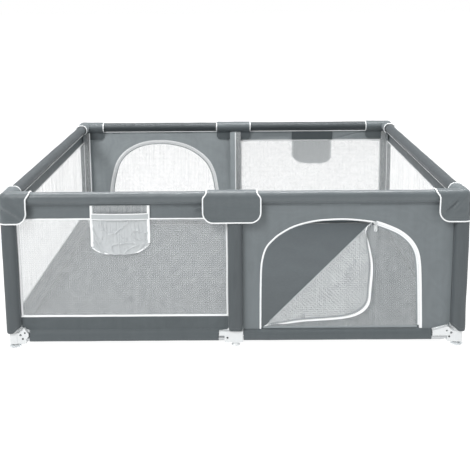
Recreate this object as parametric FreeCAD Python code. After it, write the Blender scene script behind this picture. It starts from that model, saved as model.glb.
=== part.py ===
import FreeCAD, Part
import math
import os

# Playpen: six steel posts, a padded top rail and a bottom rail all round, fabric
# walls with mesh windows, two arched zip doors and six lift-off covers.
# Millimetres, +Z up, +X along the long side, -Y is the front.
# The rear is the front turned half a turn about Z.

V = FreeCAD.Vector
os.makedirs("parts", exist_ok=True)

# ---- overall sizes -------------------------------------------------------
WIDTH = 1900.0            # long side, over the corner covers
DEPTH = 1650.0            # short side, over the corner covers
HEIGHT = 660.0            # floor to the top of the covers
COVER_HALF = 34.0         # half width of a cover over the rail
COVER_T = 2.0             # cover cloth
PX = WIDTH / 2 - COVER_HALF   # post axes
PY = DEPTH / 2 - COVER_HALF

# ---- tubes ---------------------------------------------------------------
TUBE_R = 11.0
TUBE_WALL = 0.9
ZR = 631.5                # top rail axis
ZB = 31.0                 # bottom rail axis
POST_Z0 = 30.0            # foot of the post tube inside its socket
SOCKET_R = 11.1           # bore of every plastic socket

# ---- top connectors ------------------------------------------------------
ARM_R = 15.0              # outside radius of a connector arm
ARM_L = 60.0              # arm length from the post axis
ARM_DEAD = 16.0           # solid middle of the connector

# ---- rail padding and sleeve --------------------------------------------
FOAM_R = 22.5
SLEEVE_R = 24.2
SLEEVE_RI = 22.7
BAND_TOP = 608.0          # where the band leaves the rail sleeve
WIN_TOP = 551.0           # top edge of the mesh windows
WIN_BOT = 127.0           # bottom edge of the mesh windows
HEM_BOT = 18.2            # lowest edge of the bottom hem
HEM_R = 12.8              # the hem is a flat loop round the bottom tube
HEM_RI = 11.3
HEM_TOP = 64.0
CLOTH_T = 2.0
MESH_T = 1.0

# ---- post sleeves --------------------------------------------------------
PS_HALF = 30.0
PS_WALL = 1.5
PS_Z0 = 62.0
PS_Z1 = 612.0

# ---- feet ----------------------------------------------------------------
FOOT_BOT = 15.0
BLOCK_OUT = 19.0          # outer faces of a corner foot, from the post axis
BLOCK_H = 62.0            # top of the corner block
ARM_SHORT = 60.0          # reach of the short arm
ARM_LONG = 104.0          # reach of the long arm, half open over its tube
PEAK_X, PEAK_Z = 42.0, 80.0   # the ridge between post and arm
MID_BOT, MID_TOP = 16.0, 64.0
MID_L = 46.0              # middle foot: reach towards the mesh panel
MID_R = 31.0              # and towards the door wall
MID_SADDLE = 68.5
BAND_OVER_FOOT = 84.0     # band edge where it meets a corner post
BAND_OVER_MID = 67.0      # and a middle post

# ---- zip door ------------------------------------------------------------
DOOR_XC = 438.0
DOOR_A = 328.0            # half width of the arch
DOOR_Z0 = 68.0            # sill
DOOR_ZS = 332.0           # spring line of the arch
DOOR_B = 203.0            # rise of the arch
DOOR_R2 = 150.0           # haunch radius
DOOR_R1 = ((DOOR_A - DOOR_R2) ** 2 + DOOR_B ** 2 - DOOR_R2 ** 2) / (2 * (DOOR_B - DOOR_R2))
DOOR_GAP = 3.0
FLAP_T = 1.5
HINGE_Z = 72.0            # fold line at the sill
FOLD_X0, FOLD_Z0 = 114.8, 72.0      # fold of the opened corner, lower end
FOLD_X1 = 553.3                     # and upper end, on the arch
FOLD_CUT = 2.5

# ---- pocket --------------------------------------------------------------
PK_X0, PK_X1 = -588.0, -351.0
PK_TOP, PK_LIP, PK_BOT = 606.0, 581.0, 405.0
PK_DEEP = 23.0

COVER_DROP = 534.0        # lower edge of the outer flap
COVER_IN = 602.0          # lower edge on the inside
MIDCOVER_HALF = 116.0


def box(x0, x1, y0, y1, z0, z1):
    return Part.makeBox(x1 - x0, y1 - y0, z1 - z0, V(x0, y0, z0))


def cyl(r, p, d, length):
    return Part.makeCylinder(r, length, V(*p), V(*d))


def rot180(s):
    c = s.copy()
    c.rotate(V(0, 0, 0), V(0, 0, 1), 180)
    return c


def mirror_x(s):
    return s.mirror(V(0, 0, 0), V(1, 0, 0))


def one(s):
    s = s.removeSplitter()
    return s


def save(name, *solids):
    out = []
    for s in solids:
        for q in s.Solids:
            out.append(q)
    shape = out[0] if len(out) == 1 else Part.makeCompound(out)
    for q in out:
        assert q.isValid() and q.Volume > 0, name
    shape.exportStep("parts/%s.step" % name)
    print("%-26s solids %2d  volume %.0f" % (name, len(out), sum(q.Volume for q in out)))


def xz_prism(points, y0, y1):
    """A closed outline in X and Z, extruded along Y."""
    w = Part.makePolygon([V(x, y0, z) for x, z in points] + [V(points[0][0], y0, points[0][1])])
    return Part.Face(w).extrude(V(0, y1 - y0, 0))


def tube_x(x0, x1, y, z):
    return cyl(TUBE_R, (x0, y, z), (1, 0, 0), x1 - x0).cut(cyl(TUBE_R - TUBE_WALL, (x0, y, z), (1, 0, 0), x1 - x0))


def tube_y(y0, y1, x, z):
    return cyl(TUBE_R, (x, y0, z), (0, 1, 0), y1 - y0).cut(cyl(TUBE_R - TUBE_WALL, (x, y0, z), (0, 1, 0), y1 - y0))


def tube_z(z0, z1, x, y):
    return cyl(TUBE_R, (x, y, z0), (0, 0, 1), z1 - z0).cut(cyl(TUBE_R - TUBE_WALL, (x, y, z0), (0, 0, 1), z1 - z0))


# =========================================================================
# Steel tubes
# =========================================================================
POST_Z1 = ZR - ARM_DEAD
posts = {"front_left": (-PX, -PY), "front_middle": (0.0, -PY), "front_right": (PX, -PY),
         "rear_left": (-PX, PY), "rear_middle": (0.0, PY), "rear_right": (PX, PY)}
for n, (x, y) in posts.items():
    save("post_" + n, tube_z(POST_Z0, POST_Z1, x, y))

RAIL_IN = ARM_DEAD        # a rail stops this far from each post axis
tr_fl = tube_x(-PX + RAIL_IN, -RAIL_IN, -PY, ZR)
tr_fr = tube_x(RAIL_IN, PX - RAIL_IN, -PY, ZR)
save("top_rail_front_left", tr_fl)
save("top_rail_front_right", tr_fr)
save("top_rail_rear_right", rot180(tr_fl))
save("top_rail_rear_left", rot180(tr_fr))
tr_l = tube_y(-PY + RAIL_IN, PY - RAIL_IN, -PX, ZR)
save("top_rail_left", tr_l)
save("top_rail_right", rot180(tr_l))

br_fl = tube_x(-PX + 17.5, -17.5, -PY, ZB)
br_fr = tube_x(17.5, PX - 17.5, -PY, ZB)
save("bottom_rails_front", br_fl, br_fr)
save("bottom_rails_rear", rot180(br_fl), rot180(br_fr))
br_l = tube_y(-PY + 17.5, PY - 17.5, -PX, ZB)
save("bottom_rail_left", br_l)
save("bottom_rail_right", rot180(br_l))


# =========================================================================
# Top connectors
# =========================================================================
def arm(p, d):
    a = cyl(ARM_R, p, d, ARM_L)
    q = tuple(p[i] + d[i] * ARM_DEAD for i in range(3))
    b = cyl(SOCKET_R, q, d, ARM_L)
    return a, b


def connector(centre, dirs):
    solid = Part.makeSphere(ARM_R, V(*centre))
    bores = []
    for d in dirs:
        a, b = arm(centre, d)
        solid = solid.fuse(a)
        bores.append(b)
    for b in bores:
        solid = solid.cut(b)
    return one(solid)


tc = connector((-PX, -PY, ZR), [(1, 0, 0), (0, 1, 0), (0, 0, -1)])
save("top_corner_front_left", tc)
save("top_corner_rear_right", rot180(tc))
tcr = connector((PX, -PY, ZR), [(-1, 0, 0), (0, 1, 0), (0, 0, -1)])
save("top_corner_front_right", tcr)
save("top_corner_rear_left", rot180(tcr))
tm = connector((0, -PY, ZR), [(1, 0, 0), (-1, 0, 0), (0, 0, -1)])
save("top_middle_front", tm)
save("top_middle_rear", rot180(tm))


# =========================================================================
# Feet
# =========================================================================
def filleted_box(x0, x1, y0, y1, z0, z1, r, which):
    b = box(x0, x1, y0, y1, z0, z1)
    edges = [e for e in b.Edges if which(e)]
    return b.makeFillet(r, edges)


def is_vertical(e):
    p, q = e.Vertexes[0].Point, e.Vertexes[1].Point
    return abs(p.x - q.x) < 1e-6 and abs(p.y - q.y) < 1e-6


def arm_profile(points, half):
    """Side view of an arm in X and Z, extruded to both sides of Y = 0."""
    return xz_prism(points, -half, half)


def corner_foot():
    """Post axis at the origin, short arm along +X, long arm along +Y."""
    short = arm_profile([(0, FOOT_BOT), (50, FOOT_BOT), (50, 35), (ARM_SHORT, 46), (ARM_SHORT, 56), (PEAK_X + 4, PEAK_Z - 1),
                         (PEAK_X, PEAK_Z), (BLOCK_OUT + 2, BLOCK_H), (0, BLOCK_H)], 17.0)
    long_ = arm_profile([(0, FOOT_BOT), (43, FOOT_BOT), (43, ZB + 9), (ARM_LONG, ZB + 9), (ARM_LONG, 62), (PEAK_X + 4, PEAK_Z - 1),
                         (PEAK_X, PEAK_Z), (BLOCK_OUT + 2, BLOCK_H), (0, BLOCK_H)], 17.0)
    short = short.cut(cyl(5.2, (27, -30, 52.5), (0, 1, 0), 60)).cut(cyl(4.0, (45.5, -30, 62), (0, 1, 0), 60))
    long_ = long_.cut(cyl(5.2, (27, -30, 52.5), (0, 1, 0), 60)).cut(cyl(4.0, (45.5, -30, 62), (0, 1, 0), 60))
    long_.rotate(V(0, 0, 0), V(0, 0, 1), 90)
    base = filleted_box(-BLOCK_OUT, BLOCK_OUT - 2, -BLOCK_OUT, BLOCK_OUT - 2, FOOT_BOT, BLOCK_H, 8, is_vertical)
    s = base.fuse(short).fuse(long_)
    s = s.fuse(cyl(BLOCK_OUT - 1, (0, 0, FOOT_BOT), (0, 0, 1), 88 - FOOT_BOT))
    # sockets for the post and both bottom rails
    s = s.cut(cyl(SOCKET_R, (0, 0, POST_Z0), (0, 0, 1), 100))
    s = s.cut(cyl(SOCKET_R, (17, 0, ZB), (1, 0, 0), 100))
    s = s.cut(cyl(SOCKET_R, (0, 17, ZB), (0, 1, 0), 100))
    # seats of the locking screws
    s = s.cut(cyl(2.0, (36, -18, ZB + 6), (0, 1, 0), 5.9))
    s = s.cut(cyl(2.0, (-18, 36, ZB + 6), (1, 0, 0), 5.9))
    return one(s)


def corner_screws():
    out = []
    for p, d in (((36, -17 - 1.6, ZB + 6), (0, 1, 0)), ((-17 - 1.6, 36, ZB + 6), (1, 0, 0))):
        head = cyl(3.6, p, d, 1.6)
        shank = cyl(1.9, p, d, 6.2)
        out.append(head.fuse(shank))
    return out


def at(s, x, y, z=0):
    c = s.copy()
    c.translate(V(x, y, z))
    return c


def turned(s, deg):
    c = s.copy()
    c.rotate(V(0, 0, 0), V(0, 0, 1), deg)
    return c


# one moulding serves all four corners, turned a quarter turn each time
foot = corner_foot()
foot_fl = at(foot, -PX, -PY)
foot_fr = at(turned(foot, 90), PX, -PY)
save("corner_foot_front_left", foot_fl)
save("corner_foot_front_right", foot_fr)
save("corner_foot_rear_right", rot180(foot_fl))
save("corner_foot_rear_left", rot180(foot_fr))

# middle foot: the long side of the block is towards the mesh panel
mid = filleted_box(-MID_L, MID_R, -18, 18, MID_BOT, MID_TOP, 5, is_vertical)
mid = mid.fuse(box(-MID_SADDLE, -MID_L + 2, -16, 16, ZB + 14, MID_TOP))
mid = mid.fuse(cyl(17.5, (0, 0, MID_BOT), (0, 0, 1), 82 - MID_BOT))
for k in range(8):          # small teeth round the collar grip the sleeve
    t = math.radians(22.5 + 45 * k)
    mid = mid.fuse(cyl(2.6, (17.0 * math.cos(t), 17.0 * math.sin(t), MID_TOP - 1), (0, 0, 1), 4.5))
mid = mid.fuse(cyl(14.0, (0, 0, 0), (0, 0, 1), MID_BOT + 1))
mid = mid.fuse(Part.makeCone(18.0, 14.0, 6.0, V(0, 0, 0), V(0, 0, 1)))
mid = mid.cut(cyl(SOCKET_R, (0, 0, POST_Z0), (0, 0, 1), 100))
mid = mid.cut(cyl(SOCKET_R, (-17, 0, ZB), (-1, 0, 0), 100))
mid = mid.cut(cyl(SOCKET_R, (17, 0, ZB), (1, 0, 0), 100))
mid = mid.cut(cyl(2.0, (-34, -19, ZB + 6), (0, 1, 0), 6.9))
mid = one(mid)
mid_f = at(mid, 0, -PY)
save("middle_foot_front", mid_f)
save("middle_foot_rear", rot180(mid_f))

mscrew = cyl(3.6, (-34, -18 - 1.6, ZB + 6), (0, 1, 0), 1.6).fuse(cyl(1.9, (-34, -18 - 1.6, ZB + 6), (0, 1, 0), 6.2))
front_screws = [at(s, -PX, -PY) for s in corner_screws()] + [at(turned(s, 90), PX, -PY) for s in corner_screws()] + [at(mscrew, 0, -PY)]
save("locking_screws", *(front_screws + [rot180(s) for s in front_screws]))

# suction cup: a dished disc on a neck that plugs against the foot
prof = [(0, 4.0), (20, 0.0), (25, 0.0), (25, 1.8), (15, 6.5), (9.5, 9.0), (9.5, 11.0), (16.0, 11.0), (16.0, FOOT_BOT), (0, FOOT_BOT)]
w = Part.makePolygon([V(r, 0, z) for r, z in prof] + [V(prof[0][0], 0, prof[0][1])])
cup = Part.Face(w).revolve(V(0, 0, 0), V(0, 0, 1), 360)
save("suction_cups", *[at(cup, sx * PX, sy * PY) for sx in (-1, 1) for sy in (-1, 1)])


# =========================================================================
# Foam round the top rails
# =========================================================================
def foam_x(x0, x1, y):
    return cyl(FOAM_R, (x0, y, ZR), (1, 0, 0), x1 - x0).cut(cyl(TUBE_R + 0.2, (x0, y, ZR), (1, 0, 0), x1 - x0))


def foam_y(y0, y1, x):
    return cyl(FOAM_R, (x, y0, ZR), (0, 1, 0), y1 - y0).cut(cyl(TUBE_R + 0.2, (x, y0, ZR), (0, 1, 0), y1 - y0))


FI = ARM_L + 1.0
f1 = foam_x(-PX + FI, -FI, -PY)
f2 = foam_x(FI, PX - FI, -PY)
f3 = foam_y(-PY + FI, PY - FI, -PX)
save("rail_foam", f1, f2, rot180(f1), rot180(f2), f3, rot180(f3))


# =========================================================================
# Fabric: rail sleeves, bands and hems
# =========================================================================
def sleeve_ring_x(x0, x1, y):
    return cyl(SLEEVE_R, (x0, y, ZR), (1, 0, 0), x1 - x0), cyl(SLEEVE_RI, (x0 - 1, y, ZR), (1, 0, 0), x1 - x0 + 2)


def top_band_x(x0, x1, xs0, xs1, y, z0):
    """Sleeve round the padded rail with the band that hangs from it. The sleeve runs xs0 to xs1, the band x0 to x1."""
    ring, bore = sleeve_ring_x(xs0, xs1, y)
    band = box(x0, x1, y - CLOTH_T / 2, y + CLOTH_T / 2, z0, BAND_TOP)
    return one(ring.fuse(band).cut(bore))


def stadium_x(x0, x1, y, r):
    a = cyl(r, (x0, y, HEM_BOT + HEM_R), (1, 0, 0), x1 - x0)
    b = cyl(r, (x0, y, HEM_TOP - HEM_R), (1, 0, 0), x1 - x0)
    c = box(x0, x1, y - r, y + r, HEM_BOT + HEM_R, HEM_TOP - HEM_R)
    return a.fuse(b).fuse(c)


def hem_x(x0, x1, y):
    return stadium_x(x0, x1, y, HEM_R).cut(stadium_x(x0 - 1, x1 + 1, y, HEM_RI))


def bottom_band_x(x0, x1, xh0, xh1, y, z1, e0=None, e1=None):
    """Hem round the bottom tube (xh0 to xh1) with the band above it, from post to post. e0 and e1 are the band's edges where it passes over the feet."""
    e0 = e0 or [(x0, BAND_OVER_FOOT), (xh0, 66)]
    e1 = e1 or [(xh1, 66), (x1, BAND_OVER_FOOT)]
    pts = e0 + [(xh0, HEM_TOP - 0.6), (xh1, HEM_TOP - 0.6)] + e1 + [(x1, z1), (x0, z1)]
    band = xz_prism(pts, y - CLOTH_T / 2, y + CLOTH_T / 2)
    return one(hem_x(xh0, xh1, y).fuse(band))


PANEL_X0, PANEL_X1 = -PX + PS_HALF, -PS_HALF
tb = top_band_x(PANEL_X0, PANEL_X1, -PX + FI, -FI, -PY, WIN_TOP)
bb = bottom_band_x(PANEL_X0, PANEL_X1, -PX + ARM_SHORT + 3, -MID_SADDLE - 2, -PY, WIN_BOT,
                   e0=[(PANEL_X0, BAND_OVER_FOOT), (-PX + PEAK_X + 6, BAND_OVER_FOOT), (-PX + ARM_SHORT + 3, 62)],
                   e1=[(-MID_SADDLE - 2, BAND_OVER_MID), (PANEL_X1, BAND_OVER_MID)])
save("fabric_front_left", tb, bb)
save("fabric_rear_right", rot180(tb), rot180(bb))

mesh = box(PANEL_X0, PANEL_X1, -PY - MESH_T / 2, -PY + MESH_T / 2, WIN_BOT, WIN_TOP)
save("mesh_front_left", mesh)
save("mesh_rear_right", rot180(mesh))


def x_to_left(s):
    """Turns a panel built along X into one along Y."""
    c = s.copy()
    c.rotate(V(0, 0, 0), V(0, 0, 1), -90)
    return c


# the short sides: built along X at y = -PX about the middle, then turned
SX0, SX1 = -PY + PS_HALF, PY - PS_HALF
tb = top_band_x(SX0, SX1, -PY + FI, PY - FI, -PX, WIN_TOP)
# after the turn the low end of this panel is at the rear of the left side
bb = bottom_band_x(SX0, SX1, -PY + ARM_SHORT + 3, PY - ARM_LONG - 3, -PX, WIN_BOT,
                   e0=[(SX0, BAND_OVER_FOOT), (-PY + PEAK_X + 6, BAND_OVER_FOOT), (-PY + ARM_SHORT + 3, 62)])
ms_ = box(SX0, SX1, -PX - MESH_T / 2, -PX + MESH_T / 2, WIN_BOT, WIN_TOP)
save("fabric_left", x_to_left(tb), x_to_left(bb))
save("fabric_right", rot180(x_to_left(tb)), rot180(x_to_left(bb)))
save("mesh_left", x_to_left(ms_))
save("mesh_right", rot180(x_to_left(ms_)))


# =========================================================================
# Door walls, doors and zips
# =========================================================================
def arch_wire(off, z0, y):
    """The door outline, moved outwards by off, with its sill at z0."""
    a, r1, r2 = DOOR_A + off, DOOR_R1 + off, DOOR_R2 + off
    zc1 = DOOR_ZS + DOOR_B - DOOR_R1
    cx = DOOR_A - DOOR_R2
    ang = math.atan2(cx, DOOR_ZS - zc1)      # from vertical, where the two radii meet
    X, Z = DOOR_XC, DOOR_ZS

    def p(x, z):
        return V(x, y, z)
    t_r = p(X + r1 * math.sin(ang), zc1 + r1 * math.cos(ang))
    t_l = p(X - r1 * math.sin(ang), zc1 + r1 * math.cos(ang))
    top = p(X, zc1 + r1)
    half = (math.pi / 2 - ang) / 2
    m_r = p(X + cx + r2 * math.cos(half), Z + r2 * math.sin(half))
    m_l = p(X - cx - r2 * math.cos(half), Z + r2 * math.sin(half))
    s_r, s_l = p(X + a, Z), p(X - a, Z)
    b_r, b_l = p(X + a, z0), p(X - a, z0)
    return Part.Wire([
        Part.LineSegment(b_l, s_l).toShape(),
        Part.Arc(s_l, m_l, t_l).toShape(),
        Part.Arc(t_l, top, t_r).toShape(),
        Part.Arc(t_r, m_r, s_r).toShape(),
        Part.LineSegment(s_r, b_r).toShape(),
        Part.LineSegment(b_r, b_l).toShape(),
    ])


def arch_prism(off, z0, y0, y1):
    return Part.Face(arch_wire(off, z0, y0)).extrude(V(0, y1 - y0, 0))


WX0, WX1 = PS_HALF, PX - PS_HALF
ring, bore = sleeve_ring_x(FI, PX - FI, -PY)
pts = [(WX0, BAND_OVER_MID), (MID_R + 2, BAND_OVER_MID), (MID_R + 2, HEM_TOP - 0.6), (PX - ARM_LONG - 3, HEM_TOP - 0.6),
       (PX - ARM_LONG - 3, 66), (WX1, BAND_OVER_FOOT), (WX1, BAND_TOP), (WX0, BAND_TOP)]
wall = xz_prism(pts, -PY - CLOTH_T / 2, -PY + CLOTH_T / 2)
wall = wall.fuse(ring).fuse(hem_x(MID_R + 2, PX - ARM_LONG - 3, -PY))
wall = wall.cut(bore).cut(arch_prism(0, DOOR_Z0, -PY - 5, -PY + 5))
wall = one(wall)
save("door_wall_front", wall)
save("door_wall_rear", rot180(wall))

# zip tape along the arch, on the outer face of the wall
TAPE_W, TAPE_T = 12.0, 1.4
tape = arch_prism(TAPE_W, DOOR_Z0, -PY - CLOTH_T / 2 - TAPE_T, -PY - CLOTH_T / 2).cut(
    arch_prism(0, DOOR_Z0 - 30, -PY - 10, -PY + 5))
save("zip_tapes", one(tape), rot180(one(tape)))

# door cloth, split along the fold of the corner that is turned back
flap = arch_prism(-DOOR_GAP, HINGE_Z + 2.5, -PY - FLAP_T / 2, -PY + FLAP_T / 2)
zc1 = DOOR_ZS + DOOR_B - DOOR_R1
FOLD_Z1 = zc1 + math.sqrt(DOOR_R1 ** 2 - (FOLD_X1 - DOOR_XC) ** 2)
fx, fz = FOLD_X1 - FOLD_X0, FOLD_Z1 - FOLD_Z0
fl = math.hypot(fx, fz)
ux, uz = fx / fl, fz / fl           # along the fold
nx, nz = -uz, ux                    # to the upper left of it


def half_plane(sign):
    """A big block on one side of the fold, kept FOLD_CUT away from it."""
    o = FOLD_CUT * sign
    a = (FOLD_X0 - 400 * ux + o * nx, FOLD_Z0 - 400 * uz + o * nz)
    b = (FOLD_X1 + 400 * ux + o * nx, FOLD_Z1 + 400 * uz + o * nz)
    c = (b[0] + 1200 * sign * nx, b[1] + 1200 * sign * nz)
    d = (a[0] + 1200 * sign * nx, a[1] + 1200 * sign * nz)
    return xz_prism([a, b, c, d], -PY - 20, -PY + 20)


door_main = flap.common(half_plane(-1))
corner = flap.common(half_plane(1))
FOLD_OFF = 3.0                      # the fold's axis lies this far in front of the door
corner.rotate(V(FOLD_X0, -PY - FOLD_OFF, FOLD_Z0), V(ux, 0, uz), 180)
corner = corner.cut(box(0, WIDTH, -PY - 50, -PY + 50, 0, HINGE_Z + 3.0))   # nothing of it hangs below the sill
save("front_door", one(door_main))
save("front_door_corner", one(corner))
save("rear_door", rot180(flap))
print("fold axis from", (FOLD_X0, FOLD_Z0), "to", (FOLD_X1, round(FOLD_Z1, 2)), "unit", (round(ux, 5), round(uz, 5)))
print("arc centre z", round(zc1, 3), "radius", round(DOOR_R1, 3))

# sliders and pull tabs. The slider is built at the origin with the track along X.
SL_L, SL_W, SL_T = 15.0, 10.0, 4.0


def slider():
    b = filleted_box(-SL_L / 2, SL_L / 2, -SL_T, 0, -SL_W / 2, SL_W / 2, 2.0,
                     lambda e: abs(e.Vertexes[0].Point.x - e.Vertexes[1].Point.x) < 1e-6 and abs(e.Vertexes[0].Point.z - e.Vertexes[1].Point.z) < 1e-6)
    # bridge that holds the pull tab
    br = box(-2.6, 2.6, -SL_T - 3.0, -SL_T + 0.5, -SL_W / 2 + 1.0, SL_W / 2 - 1.0)
    br = br.cut(box(-4, 4, -SL_T - 1.9, -SL_T, -2.0, 2.0))
    return one(b.fuse(br))


def pull():
    """Tab hanging down from the bridge; its wire ring passes through the bridge."""
    y = -SL_T - 0.95
    ring = cyl(0.6, (-6.2, y, 0), (1, 0, 0), 12.4)              # crossbar in the bridge
    side1 = box(-6.2, -5.0, y - 0.5, y + 0.5, -9.0, 0.0)
    side2 = box(5.0, 6.2, y - 0.5, y + 0.5, -9.0, 0.0)
    tab = filleted_box(-6.2, 6.2, y - 0.6, y + 0.6, -34.0, -8.0, 3.0,
                       lambda e: abs(e.Vertexes[0].Point.x - e.Vertexes[1].Point.x) < 1e-6 and abs(e.Vertexes[0].Point.z - e.Vertexes[1].Point.z) < 1e-6
                       and e.Vertexes[0].Point.z < -20)
    tab = tab.cut(cyl(2.0, (0, y - 3, -27.5), (0, 1, 0), 6))
    return one(ring.fuse(side1).fuse(side2).fuse(tab))


SL_Y = -PY - CLOTH_T / 2 - TAPE_T - 0.4
a_s = math.asin((FOLD_X1 + 14.0 - DOOR_XC) / DOOR_R1)
sx = DOOR_XC + (DOOR_R1 + 3.0) * math.sin(a_s)
sz = zc1 + (DOOR_R1 + 3.0) * math.cos(a_s)
s1 = slider()
s1.rotate(V(0, 0, 0), V(0, 1, 0), math.degrees(a_s))
s1 = at(s1, sx, SL_Y, sz)
p1 = at(pull(), sx, SL_Y, sz)
save("front_zip_slider", s1)
save("front_zip_pull", p1)
print("front slider at", round(sx, 3), round(SL_Y, 3), round(sz, 3), "angle", round(math.degrees(a_s), 3))

# rear zip is closed: its slider stands at the foot of the straight side nearest the middle post
rx, rz = DOOR_XC - DOOR_A - 3.0, 118.0
s2 = slider()
s2.rotate(V(0, 0, 0), V(0, 1, 0), -90)
s2 = at(s2, rx, SL_Y, rz)


def pull_side():
    """Pull tab for a slider on a vertical track: the crossbar lies along X too, so it is the same tab."""
    return pull()


def slider_v():
    b = filleted_box(-SL_W / 2, SL_W / 2, -SL_T, 0, -SL_L / 2, SL_L / 2, 2.0,
                     lambda e: abs(e.Vertexes[0].Point.x - e.Vertexes[1].Point.x) < 1e-6 and abs(e.Vertexes[0].Point.z - e.Vertexes[1].Point.z) < 1e-6)
    br = box(-2.6, 2.6, -SL_T - 3.0, -SL_T + 0.5, -SL_L / 2 + 3.0, SL_L / 2 - 3.0)
    br = br.cut(box(-4, 4, -SL_T - 1.9, -SL_T, -2.0, 2.0))
    return one(b.fuse(br))


s2 = at(slider_v(), rx, SL_Y, rz)
p2 = at(pull_side(), rx, SL_Y, rz)
save("rear_zip_slider", rot180(s2))
save("rear_zip_pull", rot180(p2))
print("rear slider at", -rx, -SL_Y, rz)


# =========================================================================
# Post sleeves
# =========================================================================
def post_sleeve(x, y):
    o = filleted_box(x - PS_HALF, x + PS_HALF, y - PS_HALF, y + PS_HALF, PS_Z0, PS_Z1, 22.0, is_vertical)
    i = filleted_box(x - PS_HALF + PS_WALL, x + PS_HALF - PS_WALL, y - PS_HALF + PS_WALL, y + PS_HALF - PS_WALL, PS_Z0 - 1, PS_Z1 + 1, 22.0 - PS_WALL, is_vertical)
    return o.cut(i)


def trim_for_foot(s, x, y, dx, dy):
    """Cuts the lower part of a corner sleeve clear of the foot's arms, on a slant."""
    for ax in ("x", "y"):
        pts = [(5, PS_Z0 - 5), (60, PS_Z0 - 5), (60, PEAK_Z + 3), (PS_HALF - 3, PEAK_Z + 3), (12, BLOCK_H + 3), (5, BLOCK_H + 3)]
        w = xz_prism(pts, -40, 40)
        if ax == "x":
            w = w if dx > 0 else turned(w, 180)
        else:
            w = turned(w, 90) if dy > 0 else turned(w, -90)
        s = s.cut(at(w, x, y))
    # the block itself stands just inside the outer corner
    return s.cut(box(x - 24, x + 24, y - 24, y + 24, PS_Z0 - 5, BLOCK_H + 3))


ps_fl = trim_for_foot(post_sleeve(-PX, -PY), -PX, -PY, 1, 1)
ps_fr = trim_for_foot(post_sleeve(PX, -PY), PX, -PY, -1, 1)
ps_fm = post_sleeve(0, -PY).cut(box(-60, 60, -PY - 40, -PY + 40, PS_Z0 - 5, MID_TOP + 5))
save("post_sleeves_front", ps_fl, ps_fm, ps_fr)
save("post_sleeves_rear", rot180(ps_fl), rot180(ps_fm), rot180(ps_fr))


# =========================================================================
# Floor
# =========================================================================
fz0, fz1 = 16.0, 18.0
floor = box(-PX, PX, -PY, PY, fz0, fz1)
for sx_ in (-1, 1):
    for sy_ in (-1, 1):
        floor = floor.cut(box(min(sx_ * PX, sx_ * (PX - 52)), max(sx_ * PX, sx_ * (PX - 52)),
                              min(sy_ * PY, sy_ * (PY - 52)), max(sy_ * PY, sy_ * (PY - 52)), fz0 - 1, fz1 + 1))
for sy_ in (-1, 1):
    floor = floor.cut(box(-48, 48, min(sy_ * PY, sy_ * (PY - 20)), max(sy_ * PY, sy_ * (PY - 20)), fz0 - 1, fz1 + 1))
save("floor", one(floor))


# =========================================================================
# Pockets
# =========================================================================
def u_outline(x0, x1, z0, z1, sag, y):
    """Pocket outline: straight sides and a shallow curved bottom."""
    zc = z0 + sag
    return Part.Face(Part.Wire([
        Part.LineSegment(V(x0, y, zc), V(x0, y, z1)).toShape(),
        Part.LineSegment(V(x0, y, z1), V(x1, y, z1)).toShape(),
        Part.LineSegment(V(x1, y, z1), V(x1, y, zc)).toShape(),
        Part.Arc(V(x1, y, zc), V((x0 + x1) / 2, y, z0), V(x0, y, zc)).toShape(),
    ]))


y_face = -PY - CLOTH_T / 2 - 0.3
back = u_outline(PK_X0, PK_X1, PK_BOT, PK_TOP, 32, y_face).extrude(V(0, -1.0, 0))
pouch = u_outline(PK_X0, PK_X1, PK_BOT, PK_LIP, 32, y_face).extrude(V(0, -PK_DEEP, 0))
hollow = u_outline(PK_X0 + 1.2, PK_X1 - 1.2, PK_BOT + 1.2, PK_LIP + 5, 32, y_face - 1.0).extrude(V(0, -(PK_DEEP - 2.2), 0))
pocket = one(back.fuse(pouch).cut(hollow))
save("pocket_front", pocket)
save("pocket_rear", rot180(pocket))


# =========================================================================
# Covers
# =========================================================================
OH, IH = COVER_HALF, COVER_HALF - COVER_T
TOPF = 27.0


def hood_x(x0, x1, y, half, ztop, zbot, fil):
    """A bar along X with rounded top edges."""
    return filleted_box(x0, x1, y - half, y + half, zbot, ztop, fil,
                        lambda e: abs(e.Vertexes[0].Point.z - ztop) < 1e-6 and abs(e.Vertexes[1].Point.z - ztop) < 1e-6
                        and abs(e.Vertexes[0].Point.y - e.Vertexes[1].Point.y) < 1e-6)


def hood_y(y0, y1, x, half, ztop, zbot, fil):
    return filleted_box(x - half, x + half, y0, y1, zbot, ztop, fil,
                        lambda e: abs(e.Vertexes[0].Point.z - ztop) < 1e-6 and abs(e.Vertexes[1].Point.z - ztop) < 1e-6
                        and abs(e.Vertexes[0].Point.x - e.Vertexes[1].Point.x) < 1e-6)


def corner_hood(half, ztop, zbot, fil):
    """The cap over the post itself, rounded along its uprights and its top."""
    b = box(-PX - half, -PX + half, -PY - half, -PY + half, zbot, ztop)
    keep = []
    for e in b.Edges:
        p, q = e.Vertexes[0].Point, e.Vertexes[1].Point
        vertical = abs(p.x - q.x) < 1e-6 and abs(p.y - q.y) < 1e-6
        top = abs(p.z - ztop) < 1e-6 and abs(q.z - ztop) < 1e-6
        outer_v = vertical and p.x < -PX and p.y < -PY
        outer_t = top and ((abs(p.x - q.x) < 1e-6 and p.x < -PX) or (abs(p.y - q.y) < 1e-6 and p.y < -PY))
        if outer_v or outer_t:
            keep.append(e)
    return b.makeFillet(fil, keep)


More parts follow.
